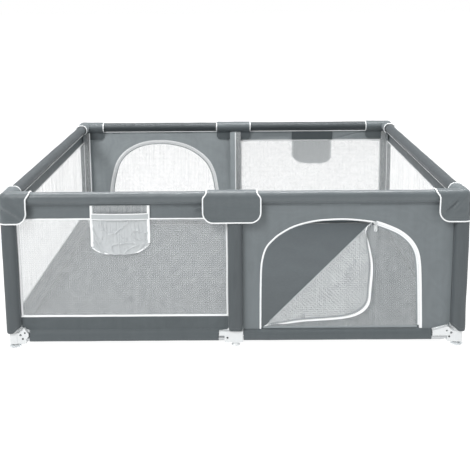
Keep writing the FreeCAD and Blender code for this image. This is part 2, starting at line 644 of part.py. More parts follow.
def flap_round(x_end, sign, r, along):
    """Removes the square lower corner of the outer flap, leaving radius r."""
    if along == "x":
        sq = box(min(x_end, x_end - sign * r), max(x_end, x_end - sign * r), -PY - OH - 5, -PY - IH + 10, COVER_DROP - 5, COVER_DROP + r)
        c = cyl(r, (x_end - sign * r, -PY - OH - 6, COVER_DROP + r), (0, 1, 0), 60)
        return sq.cut(c)
    sq = box(-PX - OH - 5, -PX - IH + 10, min(x_end, x_end - sign * r), max(x_end, x_end - sign * r), COVER_DROP - 5, COVER_DROP + r)
    c = cyl(r, (-PX - OH - 6, x_end - sign * r, COVER_DROP + r), (1, 0, 0), 60)
    return sq.cut(c)


def corner_cover(arm_x, arm_y):
    """Cover of the front-left corner. arm_x and arm_y are the arms' lengths from the outside of the corner."""
    xe = -WIDTH / 2 + arm_x
    ye = -DEPTH / 2 + arm_y
    outer = hood_x(-PX, xe, -PY, OH, HEIGHT, COVER_DROP, TOPF).fuse(hood_y(-PY, ye, -PX, OH, HEIGHT, COVER_DROP, TOPF)).fuse(corner_hood(OH, HEIGHT, COVER_DROP, TOPF))
    ztop = HEIGHT - COVER_T
    inner = hood_x(-PX, xe + 5, -PY, IH, ztop, COVER_DROP - 10, TOPF - COVER_T).fuse(hood_y(-PY, ye + 5, -PX, IH, ztop, COVER_DROP - 10, TOPF - COVER_T)).fuse(corner_hood(IH, ztop, COVER_DROP - 10, TOPF - COVER_T))
    s = outer.cut(inner)
    # the inner side stops at the rail sleeve's lower edge
    s = s.cut(box(-PX - IH + 1, xe + 200, -PY + IH - 3, ye + 200, COVER_DROP - 5, COVER_IN))
    s = s.cut(box(-PX + IH - 3, xe + 200, -PY - IH + 1, ye + 200, COVER_DROP - 5, COVER_IN).cut(box(-PX - 50, xe + 300, -PY - OH - 5, -PY + IH - 3, 0, 900)))
    s = s.cut(flap_round(xe, 1, 42, "x")).cut(flap_round(ye, 1, 42, "y"))
    s = one(s)
    assert len(s.Solids) == 1
    return s


save("corner_cover_front_left", corner_cover(114, 108))
save("corner_cover_front_right", mirror_x(corner_cover(131, 114)))
save("corner_cover_rear_right", rot180(corner_cover(148, 124)))
save("corner_cover_rear_left", rot180(mirror_x(corner_cover(138, 124))))


def middle_cover(xc):
    mc = hood_x(xc - MIDCOVER_HALF, xc + MIDCOVER_HALF, -PY, OH, HEIGHT, COVER_DROP, TOPF)
    mc = mc.cut(hood_x(xc - MIDCOVER_HALF - 5, xc + MIDCOVER_HALF + 5, -PY, IH, HEIGHT - COVER_T, COVER_DROP - 10, TOPF - COVER_T))
    mc = mc.cut(box(-200, 200, -PY + IH - 3, -PY + OH + 5, COVER_DROP - 5, COVER_IN))
    mc = mc.cut(flap_round(xc + MIDCOVER_HALF, 1, 42, "x")).cut(flap_round(xc - MIDCOVER_HALF, -1, 42, "x"))
    mc = one(mc)
    assert len(mc.Solids) == 1
    return mc


save("middle_cover_front", middle_cover(-12.0))
save("middle_cover_rear", rot180(middle_cover(12.0)))

print("files", len([f for f in os.listdir("parts") if f.endswith(".step")]))
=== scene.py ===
import math

import bmesh
import bpy
import numpy as np
from mathutils import Matrix, Vector, noise


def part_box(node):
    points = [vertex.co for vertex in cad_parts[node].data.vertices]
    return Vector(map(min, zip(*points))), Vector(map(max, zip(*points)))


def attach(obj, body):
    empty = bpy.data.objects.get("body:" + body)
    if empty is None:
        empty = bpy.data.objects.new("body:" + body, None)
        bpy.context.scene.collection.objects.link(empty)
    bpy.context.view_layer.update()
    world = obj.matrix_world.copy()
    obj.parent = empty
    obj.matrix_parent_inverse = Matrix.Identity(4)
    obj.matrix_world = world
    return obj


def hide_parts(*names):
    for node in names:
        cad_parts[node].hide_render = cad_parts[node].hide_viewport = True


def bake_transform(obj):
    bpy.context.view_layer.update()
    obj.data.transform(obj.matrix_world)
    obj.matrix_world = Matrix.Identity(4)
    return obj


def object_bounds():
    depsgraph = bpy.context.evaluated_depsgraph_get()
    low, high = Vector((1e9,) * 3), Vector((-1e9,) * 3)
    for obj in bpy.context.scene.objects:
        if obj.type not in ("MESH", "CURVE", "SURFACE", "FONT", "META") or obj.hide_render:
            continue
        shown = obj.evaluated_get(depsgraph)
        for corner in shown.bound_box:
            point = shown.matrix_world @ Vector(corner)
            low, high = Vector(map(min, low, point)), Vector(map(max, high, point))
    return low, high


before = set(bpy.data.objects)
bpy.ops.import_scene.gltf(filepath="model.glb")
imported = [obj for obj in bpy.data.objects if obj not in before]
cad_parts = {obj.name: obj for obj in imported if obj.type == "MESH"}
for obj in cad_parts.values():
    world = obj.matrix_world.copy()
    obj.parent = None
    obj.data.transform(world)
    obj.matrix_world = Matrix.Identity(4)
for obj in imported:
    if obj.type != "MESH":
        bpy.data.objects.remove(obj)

CAD_LO, CAD_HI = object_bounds()
SC = bpy.context.scene
SC.view_settings.view_transform = "Standard"
SC.view_settings.look = "None"

# ---------------------------------------------------------------- places, metres
_lo, _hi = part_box("post_front_right")
PX, PY = (_lo.x + _hi.x) / 2, -(_lo.y + _hi.y) / 2          # post axes
_lo, _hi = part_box("top_rail_left")
ZR = (_lo.z + _hi.z) / 2                                     # top rail axis
_lo, _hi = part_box("bottom_rail_left")
ZB = (_lo.z + _hi.z) / 2
SEAM_Z = 0.6035          # where the rail sleeve is sewn to the band
WIN_TOP, WIN_BOT = 0.5440, 0.1290
HEM_SEAM, HEM_LOW = 0.0660, 0.0185
SLEEVE_R = 0.0242
ARM_SHORT, ARM_LONG = 0.063, 0.107
MID_SADDLE, MID_R = 0.0705, 0.033
PK0, PK1 = -0.5790, -0.3490          # the storage pocket along its panel
XC, DA, DZ0, DZS, DB, DR2 = 0.438, 0.328, 0.068, 0.332, 0.203, 0.150   # zip door arch
DR1 = ((DA - DR2) ** 2 + DB ** 2 - DR2 ** 2) / (2 * (DB - DR2))
DZC = DZS + DB - DR1

SIDES = {
    "front": (Matrix(((1, 0, 0), (0, -1, 0), (0, 0, 1))), Vector((0, -PY, 0))),
    "rear": (Matrix(((-1, 0, 0), (0, 1, 0), (0, 0, 1))), Vector((0, PY, 0))),
    "left": (Matrix(((0, -1, 0), (-1, 0, 0), (0, 0, 1))), Vector((-PX, 0, 0))),
    "right": (Matrix(((0, 1, 0), (1, 0, 0), (0, 0, 1))), Vector((PX, 0, 0))),
}


def place(side, p):
    """Panel coordinates (along, outwards, up) to the row frame."""
    m, t = SIDES[side]
    return np.asarray(p, float) @ np.array(m, float).T + np.array(t, float)


def nz(p, k, seed=0.0):
    return noise.noise(Vector((p[0] * k + seed * 7.31, p[1] * k + seed * 3.17, p[2] * k - seed * 5.71)))


def nz_field(P, k, seed=0.0):
    flat = P.reshape(-1, 3)
    return np.array([nz(q, k, seed) for q in flat]).reshape(P.shape[:-1])


def sstep(a, b, x):
    t = np.clip((np.asarray(x, float) - a) / (b - a), 0, 1)
    return t * t * (3 - 2 * t)


# ---------------------------------------------------------------- mesh makers
def grid_quads(nu, nv, cu=False, cv=False, off=0, flip=False):
    f = []
    for i in range(nu if cu else nu - 1):
        for j in range(nv if cv else nv - 1):
            a, b = i * nv + j, ((i + 1) % nu) * nv + j
            c, d = ((i + 1) % nu) * nv + (j + 1) % nv, i * nv + (j + 1) % nv
            q = (a + off, b + off, c + off, d + off)
            f.append(q[::-1] if flip else q)
    return f


def g_sheet(P, cu=False, cv=False):
    nu, nv = P.shape[:2]
    return P.reshape(-1, 3), grid_quads(nu, nv, cu, cv)


def normals_of(P, cu=False, cv=False):
    def diff(a, ax, closed):
        if closed:
            return np.roll(a, -1, ax) - np.roll(a, 1, ax)
        return np.gradient(a, axis=ax)
    n = np.cross(diff(P, 0, cu), diff(P, 1, cv))
    length = np.linalg.norm(n, axis=2, keepdims=True)
    length[length < 1e-12] = 1
    return n / length


def g_thick(P, t, cu=False, cv=False):
    """A closed sheet of thickness t about the surface P."""
    nu, nv = P.shape[:2]
    n = normals_of(P, cu, cv)
    A, B = P + n * t / 2, P - n * t / 2
    V = np.concatenate([A.reshape(-1, 3), B.reshape(-1, 3)])
    k = nu * nv
    F = grid_quads(nu, nv, cu, cv) + grid_quads(nu, nv, cu, cv, off=k, flip=True)
    if not cv:
        for i in range(nu if cu else nu - 1):
            for j in (0, nv - 1):
                a, b = i * nv + j, ((i + 1) % nu) * nv + j
                q = (a, b, b + k, a + k)
                F.append(q if j else q[::-1])
    if not cu:
        for j in range(nv if cv else nv - 1):
            for i in (0, nu - 1):
                a, b = i * nv + j, i * nv + (j + 1) % nv
                q = (a, b, b + k, a + k)
                F.append(q[::-1] if i else q)
    return V, F


def g_tube(pts, r, n=8, closed=False, flat=1.0, up=None):
    """A round or flattened tube along pts; r may vary. flat squeezes it along up."""
    pts = np.asarray(pts, float)
    m = len(pts)
    r = np.broadcast_to(np.asarray(r, float), (m,))
    if closed:
        tan = np.roll(pts, -1, 0) - np.roll(pts, 1, 0)
    else:
        tan = np.gradient(pts, axis=0)
    tan /= np.linalg.norm(tan, axis=1, keepdims=True) + 1e-15
    if up is None:
        a = np.array([0.0, 0, 1]) if abs(tan[0][2]) < 0.9 else np.array([1.0, 0, 0])
    else:
        a = np.asarray(up, float)
    fr = []
    u = a - tan[0] * (a @ tan[0])
    u /= np.linalg.norm(u)
    for k in range(m):
        if up is not None:
            u = a - tan[k] * (a @ tan[k])
        else:
            u = u - tan[k] * (u @ tan[k])
        u = u / (np.linalg.norm(u) + 1e-15)
        fr.append((u, np.cross(tan[k], u)))
    V, F = [], []
    for k in range(m):
        u, w = fr[k]
        for q in range(n):
            t = 2 * math.pi * q / n
            V.append(pts[k] + r[k] * (flat * math.cos(t) * u + math.sin(t) * w))
    F = grid_quads(m, n, closed, True, flip=True)
    if not closed:
        F.append(tuple(range(n)))
        F.append(tuple(reversed(range((m - 1) * n, m * n))))
    return np.array(V), F


def resample(pts, step, closed=False):
    pts = np.asarray(pts, float)
    if closed:
        pts = np.vstack([pts, pts[:1]])
    seg = np.linalg.norm(np.diff(pts, axis=0), axis=1)
    keep = np.concatenate([[True], seg > 1e-9])
    pts = pts[keep]
    seg = np.linalg.norm(np.diff(pts, axis=0), axis=1)
    s = np.concatenate([[0], np.cumsum(seg)])
    n = max(2, int(round(s[-1] / step)) + 1)
    t = np.linspace(0, s[-1], n)
    out = np.stack([np.interp(t, s, pts[:, i]) for i in range(3)], 1)
    return out[:-1] if closed else out


def smooth_line(pts, n=6):
    """Catmull-Rom through the points."""
    P = [np.asarray(p, float) for p in pts]
    P = [2 * P[0] - P[1]] + P + [2 * P[-1] - P[-2]]
    out = []
    for i in range(1, len(P) - 2):
        p0, p1, p2, p3 = P[i - 1:i + 3]
        for k in range(n):
            t = k / n
            out.append(0.5 * ((2 * p1) + (-p0 + p2) * t + (2 * p0 - 5 * p1 + 4 * p2 - p3) * t * t + (-p0 + 3 * p1 - 3 * p2 + p3) * t ** 3))
    out.append(P[-2])
    return np.array(out)


def g_stitches(line, pitch=0.0042, length=0.0028, r=0.00040):
    """Short raised threads laid end to end along a line."""
    pts = resample(line, pitch)
    V, F = [], []
    for i in range(len(pts) - 1):
        d = pts[i + 1] - pts[i]
        L = np.linalg.norm(d)
        if L < 1e-6:
            continue
        d = d / L
        a = np.array([0.0, 0, 1]) if abs(d[2]) < 0.8 else np.array([1.0, 0, 0])
        u = a - d * (a @ d)
        u /= np.linalg.norm(u)
        w = np.cross(d, u)
        c = pts[i] + d * (L - length) / 2
        base = len(V)
        for s, k in ((0, 0.45), (0.25, 1.0), (0.75, 1.0), (1, 0.45)):
            for e in range(4):
                t = math.pi / 4 + e * math.pi / 2
                V.append(c + d * s * length + r * k * (math.cos(t) * u + math.sin(t) * w))
        for s in range(3):
            for e in range(4):
                q0, q1 = base + s * 4 + e, base + s * 4 + (e + 1) % 4
                F.append((q0, q1, q1 + 4, q0 + 4))
        F.append((base + 3, base + 2, base + 1, base))
        F.append((base + 12, base + 13, base + 14, base + 15))
    return np.array(V), F


def make(name, parts, mats, body="frame", replaces=(), sharp=46.0, weld=None, recalc=True):
    """One piece from several (vertices, faces[, material index]) parts."""
    V, F, M = [], [], []
    off = 0
    for p in parts:
        v, f = p[0], p[1]
        mi = p[2] if len(p) > 2 else 0
        V.append(np.asarray(v, float))
        F += [tuple(i + off for i in q) for q in f]
        M += [mi] * len(f)
        off += len(v)
    V = np.concatenate(V)
    me = bpy.data.meshes.new(name)
    me.from_pydata(V.tolist(), [], F)
    me.update()
    me.polygons.foreach_set("material_index", M)
    bm = bmesh.new()
    bm.from_mesh(me)
    if weld:
        bmesh.ops.remove_doubles(bm, verts=bm.verts, dist=weld)
        bmesh.ops.dissolve_degenerate(bm, edges=bm.edges, dist=1e-6)
    if recalc:
        bmesh.ops.recalc_face_normals(bm, faces=bm.faces)
    lim = math.radians(sharp)
    for e in bm.edges:
        if len(e.link_faces) == 2:
            e.smooth = e.calc_face_angle(0.0) < lim
    for f in bm.faces:
        f.smooth = True
    bm.to_mesh(me)
    bm.free()
    ob = bpy.data.objects.new(name, me)
    SC.collection.objects.link(ob)
    for m in mats if isinstance(mats, (list, tuple)) else [mats]:
        me.materials.append(m)
    if body:
        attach(ob, body)
    if replaces:
        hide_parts(*([replaces] if isinstance(replaces, str) else replaces))
    return ob


# ---------------------------------------------------------------- materials
def srgb(h):
    h = h.lstrip("#")
    c = [int(h[i:i + 2], 16) / 255 for i in (0, 2, 4)]
    return [x / 12.92 if x <= 0.04045 else ((x + 0.055) / 1.055) ** 2.4 for x in c] + [1.0]


class Nodes:
    def __init__(self, name):
        self.m = bpy.data.materials.new(name)
        self.m.use_nodes = True
        self.t = self.m.node_tree
        self.p = self.t.nodes["Principled BSDF"]
        self.out = self.t.nodes["Material Output"]
        self.tc = self.t.nodes.new("ShaderNodeTexCoord")

    def n(self, kind, **props):
        x = self.t.nodes.new("ShaderNode" + kind)
        for k, v in props.items():
            if k.startswith("i_"):
                x.inputs[k[2:].replace("_", " ")].default_value = v
            else:
                setattr(x, k, v)
        return x

    def l(self, a, b):
        self.t.links.new(a, b)

    def obj(self, scale=(1, 1, 1), rot=(0, 0, 0)):
        mp = self.n("Mapping")
        mp.inputs["Scale"].default_value = scale
        mp.inputs["Rotation"].default_value = rot
        self.l(self.tc.outputs["Object"], mp.inputs["Vector"])
        return mp.outputs["Vector"]

    def noise(self, scale, detail=2.0, vec=None, rough=0.5):
        x = self.n("TexNoise")
        x.inputs["Scale"].default_value = scale
        x.inputs["Detail"].default_value = detail
        x.inputs["Roughness"].default_value = rough
        self.l(vec or self.tc.outputs["Object"], x.inputs["Vector"])
        return x.outputs["Fac"]

    def wave(self, axis, scale, distort=0.0, dscale=1.0, vec=None):
        x = self.n("TexWave", bands_direction=axis, wave_profile="SIN")
        x.inputs["Scale"].default_value = scale
        x.inputs["Distortion"].default_value = distort
        x.inputs["Detail Scale"].default_value = dscale
        self.l(vec or self.tc.outputs["Object"], x.inputs["Vector"])
        return x.outputs["Fac"]

    def math(self, op, a, b=None, clamp=False):
        x = self.n("Math", operation=op, use_clamp=clamp)
        for i, v in enumerate((a, b)):
            if v is None:
                continue
            if isinstance(v, (int, float)):
                x.inputs[i].default_value = v
            else:
                self.l(v, x.inputs[i])
        return x.outputs[0]

    def ramp(self, fac, stops):
        x = self.n("ValToRGB")
        cr = x.color_ramp
        cr.elements[0].position, cr.elements[0].color = stops[0]
        cr.elements[1].position, cr.elements[1].color = stops[-1]
        for pos, col in stops[1:-1]:
            e = cr.elements.new(pos)
            e.color = col
        self.l(fac, x.inputs["Fac"])
        return x.outputs["Color"]

    def rng(self, v, a, b, c, d):
        x = self.n("MapRange")
        for i, q in zip(("From Min", "From Max", "To Min", "To Max"), (a, b, c, d)):
            x.inputs[i].default_value = q
        self.l(v, x.inputs["Value"])
        return x.outputs["Result"]

    def bump(self, h, strength, dist, prev=None):
        x = self.n("Bump")
        x.inputs["Strength"].default_value = strength
        x.inputs["Distance"].default_value = dist
        self.l(h, x.inputs["Height"])
        if prev is not None:
            self.l(prev, x.inputs["Normal"])
        return x.outputs["Normal"]

    def set(self, **kw):
        for k, v in kw.items():
            self.p.inputs[k.replace("_", " ")].default_value = v


def tint(c, k):
    return [min(1.0, c[0] * k), min(1.0, c[1] * k), min(1.0, c[2] * k), 1.0]


def mat_fabric(name, colour, rough=0.62, sheen=0.22, thread=0.0011, var=0.07, melange=0.10, bump=0.35):
    """Woven cloth: threads in all three axes, fibre melange, slow shade variation."""
    b = Nodes(name)
    c = srgb(colour)
    k = 0.314 / thread
    wx, wy, wz = b.wave("X", k, 0.6, 0.4), b.wave("Y", k, 0.6, 0.4), b.wave("Z", k, 0.6, 0.4)
    weave = b.math("MULTIPLY", b.math("ADD", b.math("ADD", wx, wy), wz), 0.3333)
    fibre = b.noise(900.0, 2.0)
    cloud = b.noise(5.0, 3.0)
    streak = b.noise(60.0, 3.0, b.obj((1, 1, 0.12)))
    mixed = b.math("ADD", b.math("MULTIPLY", fibre, 0.45), b.math("ADD", b.math("MULTIPLY", weave, 0.25), b.math("MULTIPLY", streak, 0.30)))
    fine = b.ramp(mixed, [(0.30, tint(c, 1 - melange)), (0.50, c), (0.70, tint(c, 1 + melange))])
    slow = b.ramp(cloud, [(0.30, tint([1, 1, 1, 1], 1 - var)), (0.70, [1, 1, 1, 1])])
    mx = b.n("Mix", data_type="RGBA", blend_type="MULTIPLY")
    mx.inputs[0].default_value = 1.0
    b.l(fine, mx.inputs[6])
    b.l(slow, mx.inputs[7])
    b.l(mx.outputs[2], b.p.inputs["Base Color"])
    b.l(b.rng(mixed, 0.3, 0.7, rough + 0.07, rough - 0.07), b.p.inputs["Roughness"])
    nb = b.bump(weave, bump, 0.0003)
    b.l(b.bump(cloud, 0.25, 0.004, nb), b.p.inputs["Normal"])
    b.set(Sheen_Weight=sheen, Sheen_Roughness=0.45, Sheen_Tint=(0.86, 0.90, 0.94, 1.0))
    b.p.inputs["Specular IOR Level"].default_value = 0.42
    return b.m


def mat_net(name, axis, colour, thread_a=0.96, hole_a=0.10, pitch=0.0024, cover=0.203, coarse=0.05, rough=0.75, streak=0.05, ripple=0.0):
    """Knitted netting seen through its holes; axis is the horizontal axis in the sheet's plane."""
    b = Nodes(name)
    c = srgb(colour)
    sep = b.n("SeparateXYZ")
    b.l(b.tc.outputs["Object"], sep.inputs[0])
    h, z = sep.outputs[axis], sep.outputs["Z"]
    k = math.pi / (math.sqrt(2) * pitch)

    def family(v):
        s = b.math("ABSOLUTE", b.math("SINE", b.math("MULTIPLY", v, k)))
        return b.rng(s, cover * 1.5, cover * 0.5, 0.0, 1.0)
    net = b.math("MAXIMUM", family(b.math("ADD", h, z)), family(b.math("SUBTRACT", h, z)))
    # ribs of the knit, and uneven tension
    kc = math.pi / 0.0085
    rib_h = b.rng(b.math("ABSOLUTE", b.math("SINE", b.math("MULTIPLY", z, kc))), 0.42, 0.08, 0.0, coarse)
    rib_v = b.rng(b.math("ABSOLUTE", b.math("SINE", b.math("MULTIPLY", h, kc))), 0.42, 0.08, 0.0, coarse)
    uneven = b.rng(b.noise(38.0, 3.0), 0.3, 0.7, -min(coarse, 0.07) * 0.8, min(coarse, 0.07) * 0.8)
    uneven = b.math("ADD", uneven, b.rng(b.noise(130.0, 2.0, b.obj((1, 1, 0.025))), 0.35, 0.65, -streak, streak))
    if ripple:
        uneven = b.math("ADD", uneven, b.rng(b.wave("DIAGONAL", 38.0, 5.0, 2.2), 0, 1, -ripple, ripple))
        uneven = b.math("ADD", uneven, b.rng(b.wave("Z", 34.0, 4.0, 1.6), 0, 1, -ripple * 0.6, ripple * 0.6))
    a = b.math("ADD", b.rng(net, 0, 1, hole_a, thread_a), b.math("ADD", b.math("ADD", rib_h, rib_v), uneven), clamp=True)
    b.l(a, b.p.inputs["Alpha"])
    b.l(b.ramp(b.noise(700.0, 2.0), [(0.3, tint(c, 0.94)), (0.7, tint(c, 1.03))]), b.p.inputs["Base Color"])
    b.l(b.rng(b.noise(500.0, 1.0), 0.3, 0.7, rough - 0.06, rough + 0.06), b.p.inputs["Roughness"])
    b.l(b.bump(net, 0.3, 0.0002), b.p.inputs["Normal"])
    b.set(Sheen_Weight=0.1)
    b.p.inputs["Specular IOR Level"].default_value = 0.25
    return b.m


def mat_cloth_white(name, colour, rough=0.65, bump=0.3, alpha=None, k=1.0):
    b = Nodes(name)
    c = srgb(colour)
    w = b.math("MULTIPLY", b.math("ADD", b.wave("X", 300 * k, 0.4), b.wave("Z", 300 * k, 0.4)), 0.5)
    f = b.noise(800.0, 2.0)
    b.l(b.ramp(b.math("ADD", b.math("MULTIPLY", w, 0.5), b.math("MULTIPLY", f, 0.5)), [(0.3, tint(c, 0.93)), (0.7, tint(c, 1.02))]), b.p.inputs["Base Color"])
    b.l(b.rng(f, 0.3, 0.7, rough - 0.06, rough + 0.06), b.p.inputs["Roughness"])
    b.l(b.bump(w, bump, 0.0003), b.p.inputs["Normal"])
    b.set(Sheen_Weight=0.15)
    if alpha is not None:
        lo, hi = alpha
        b.l(b.rng(b.math("ADD", b.math("MULTIPLY", w, 0.6), b.math("MULTIPLY", f, 0.4)), 0.25, 0.75, lo, hi), b.p.inputs["Alpha"])
    return b.m


def mat_plastic(name, colour, rough=0.34):
    b = Nodes(name)
    c = srgb(colour)
    f, g = b.noise(260.0, 3.0), b.noise(14.0, 2.0)
    b.l(b.ramp(g, [(0.3, tint(c, 0.965)), (0.7, c)]), b.p.inputs["Base Color"])
    b.l(b.rng(f, 0.3, 0.7, rough - 0.05, rough + 0.08), b.p.inputs["Roughness"])
    b.l(b.bump(f, 0.12, 0.0002), b.p.inputs["Normal"])
    b.p.inputs["Specular IOR Level"].default_value = 0.5
    return b.m


def mat_metal(name, colour, rough=0.3, metallic=1.0, axis=(1, 1, 1)):
    b = Nodes(name)
    c = srgb(colour)
    f = b.noise(180.0, 3.0, b.obj(axis))
    b.l(b.ramp(f, [(0.3, tint(c, 0.90)), (0.7, c)]), b.p.inputs["Base Color"])
    b.l(b.rng(f, 0.3, 0.7, rough - 0.06, rough + 0.08), b.p.inputs["Roughness"])
    b.l(b.bump(f, 0.10, 0.0001), b.p.inputs["Normal"])
    b.p.inputs["Metallic"].default_value = metallic
    return b.m


def mat_clear(name):
    b = Nodes(name)
    f = b.noise(120.0, 2.0)
    b.l(b.ramp(f, [(0.3, srgb("#DDE3E6")), (0.7, srgb("#F2F6F8"))]), b.p.inputs["Base Color"])
    b.l(b.rng(f, 0.3, 0.7, 0.08, 0.2), b.p.inputs["Roughness"])
    b.l(b.bump(f, 0.08, 0.0002), b.p.inputs["Normal"])
    b.p.inputs["Transmission Weight"].default_value = 0.85
    b.p.inputs["IOR"].default_value = 1.43
    return b.m


def mat_foam(name):
    b = Nodes(name)
    f = b.noise(420.0, 4.0, rough=0.7)
    b.l(b.ramp(f, [(0.35, srgb("#9EA2A4")), (0.65, srgb("#C9CCCE"))]), b.p.inputs["Base Color"])
    b.l(b.rng(f, 0.3, 0.7, 0.82, 0.95), b.p.inputs["Roughness"])
    b.l(b.bump(f, 0.6, 0.0006), b.p.inputs["Normal"])
    return b.m


# one grey cloth; the copies below carry painted light and painted shade in their colours, each set for one region
GREY = mat_fabric("fabric_grey", "#6F7679")
# painted light: a lighter copy of the grey cloth for the rear wall and the rear post linings
GREY_PAINTED_LIT_REAR = mat_fabric("fabric_grey_painted_lit_rear", "#989FA2")
# painted shade: a darker copy of the grey cloth for the front rail sleeves
GREY_RAIL_PAINTED_SHADE = mat_fabric("fabric_grey_rail_painted_shade", "#5C6366", rough=0.36, sheen=0.32)
# painted shade: a still darker copy of the grey cloth for the rear rail sleeves
GREY_RAIL_REAR_PAINTED_SHADE = mat_fabric("fabric_grey_rail_rear_painted_shade", "#3E4447", rough=0.48, sheen=0.22)
# painted shade: a darker copy of the grey cloth for the rail covers
GREY_COVER_PAINTED_SHADE = mat_fabric("fabric_grey_cover_painted_shade", "#596063", rough=0.40, sheen=0.30)
# painted shade: a darker copy of the grey cloth for the post sleeves
GREY_POST_PAINTED_SHADE = mat_fabric("fabric_grey_post_painted_shade", "#4F5558", rough=0.6, sheen=0.15)
# painted shade: a darker copy of the grey cloth for the bands under the rails
GREY_BAND_PAINTED_SHADE = mat_fabric("fabric_grey_band_painted_shade", "#646B6E")
# painted shade: a darker copy of the grey cloth for the bottom bands and hems, darker towards the floor
GREY_LOW_PAINTED_SHADE = mat_fabric("fabric_grey_low_painted_shade", "#51585B")
# painted shade: the darkest copy of the grey cloth, for the side rail sleeves
GREY_RAIL_SIDE_PAINTED_SHADE = mat_fabric("fabric_grey_rail_side_painted_shade", "#3B4144", rough=0.52, sheen=0.18)
# painted shade: a darker copy of the grey cloth for the side panels
GREY_SIDE_PAINTED_SHADE = mat_fabric("fabric_grey_side_painted_shade", "#4A5154", rough=0.52, sheen=0.18)
# painted backlight: a lighter copy of the grey cloth for the rear band, as if lit through from behind
GREY_PAINTED_BACKLIGHT = mat_fabric("fabric_grey_painted_backlight", "#858C8F")
GREY_FLOOR = mat_fabric("fabric_floor", "#3E4447", rough=0.7, sheen=0.12, thread=0.0014, melange=0.12)
GREY_SEW = mat_cloth_white("thread_grey", "#7C8386", k=0.9)
WHITE = mat_cloth_white("piping_white", "#F1F3F4")
WHITE_TAPE = mat_cloth_white("tape_white", "#F3F5F6", rough=0.7, bump=0.5)
ELASTIC = mat_cloth_white("elastic_white", "#B4B9BB", rough=0.75, bump=0.6)
POUCH = mat_cloth_white("pouch_white", "#C6CACC", rough=0.30, bump=0.10, alpha=(0.74, 0.93))
BINDING = mat_fabric("binding_grey", "#8A9194", sheen=0.1)
TEETH = mat_plastic("zip_teeth_white", "#E6E9EA", rough=0.4)
TEETH_DARK = mat_plastic("zip_teeth_grey", "#666C6F", rough=0.45)
NET_X = mat_net("net_front_rear", "X", "#D3D6D7", pitch=0.0028, hole_a=0.13, cover=0.25, coarse=0.20, streak=0.012)
NET_Y = mat_net("net_sides", "Y", "#D3D6D7", hole_a=0.17, cover=0.24, streak=0.12)
NET_DOOR = mat_net("net_door", "X", "#D2D6D7", pitch=0.0028, coarse=0.20, hole_a=0.08)
NET_FLAP = mat_net("net_opened_corner", "X", "#DADDDE", pitch=0.0028, coarse=0.20, thread_a=1.0, hole_a=0.17, ripple=0.11)
NET_POCKET = mat_net("net_pocket_band", "X", "#C9CDCF", thread_a=1.0, hole_a=0.35, pitch=0.0020, coarse=0.05)
PLASTIC = mat_plastic("plastic_white", "#DDE0E1")
STEEL = mat_metal("steel_tube", "#C9CCCE", rough=0.26, axis=(0.2, 0.2, 1))
ZIPMETAL = mat_metal("zip_metal", "#D9DCDD", rough=0.3)
SCREW = mat_metal("screw_dark", "#3A3C3E", rough=0.42, metallic=0.9)
CLEAR = mat_clear("suction_clear")
FOAM = mat_foam("foam_grey")

# CAD nodes that stay keep their shape and get their finish here
KEEP = {"post_": STEEL, "top_rail_": STEEL, "bottom_rail": STEEL, "top_corner_": PLASTIC, "top_middle_": PLASTIC,
        "corner_foot_": PLASTIC, "middle_foot_": PLASTIC, "locking_screws": SCREW, "suction_cups": CLEAR,
        "front_zip_": ZIPMETAL, "rear_zip_": ZIPMETAL}
for _n, _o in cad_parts.items():
    for _k, _m in KEEP.items():
        if _n.startswith(_k) and not _n.startswith("post_sleeves"):
            if not _o.material_slots:
                _o.data.materials.append(_m)
            for _s in _o.material_slots:
                _s.material = _m


# ---------------------------------------------------------------- rail sleeves and bands
def top_profile(n_arc=30, n_band=10, z_low=WIN_TOP, band_o=0.0008):
    """Across a top rail: inner lap edge, round the padding, back to the seam and down the band."""
    d = ZR - SEAM_Z
    a = math.acos(SLEEVE_R / math.hypot(d, 0.001))
    prof = [(-0.0058, SEAM_Z - 0.0005), (-0.0075, SEAM_Z + 0.0030)]
    for k in range(n_arc + 1):
        t = -math.pi / 2 - a - (2 * math.pi - 2 * a) * k / n_arc
        prof.append((SLEEVE_R * math.cos(t), ZR + SLEEVE_R * math.sin(t)))
    prof += [(0.0050, SEAM_Z + 0.0045), (0.0024, SEAM_Z + 0.0012), (0.0012, SEAM_Z - 0.0008)]
    for k in range(1, n_band + 1):
        t = k / n_band
        prof.append((band_o, SEAM_Z - 0.0008 + (z_low - SEAM_Z + 0.0008) * t))
    return np.array(prof)


ARC_N = 30


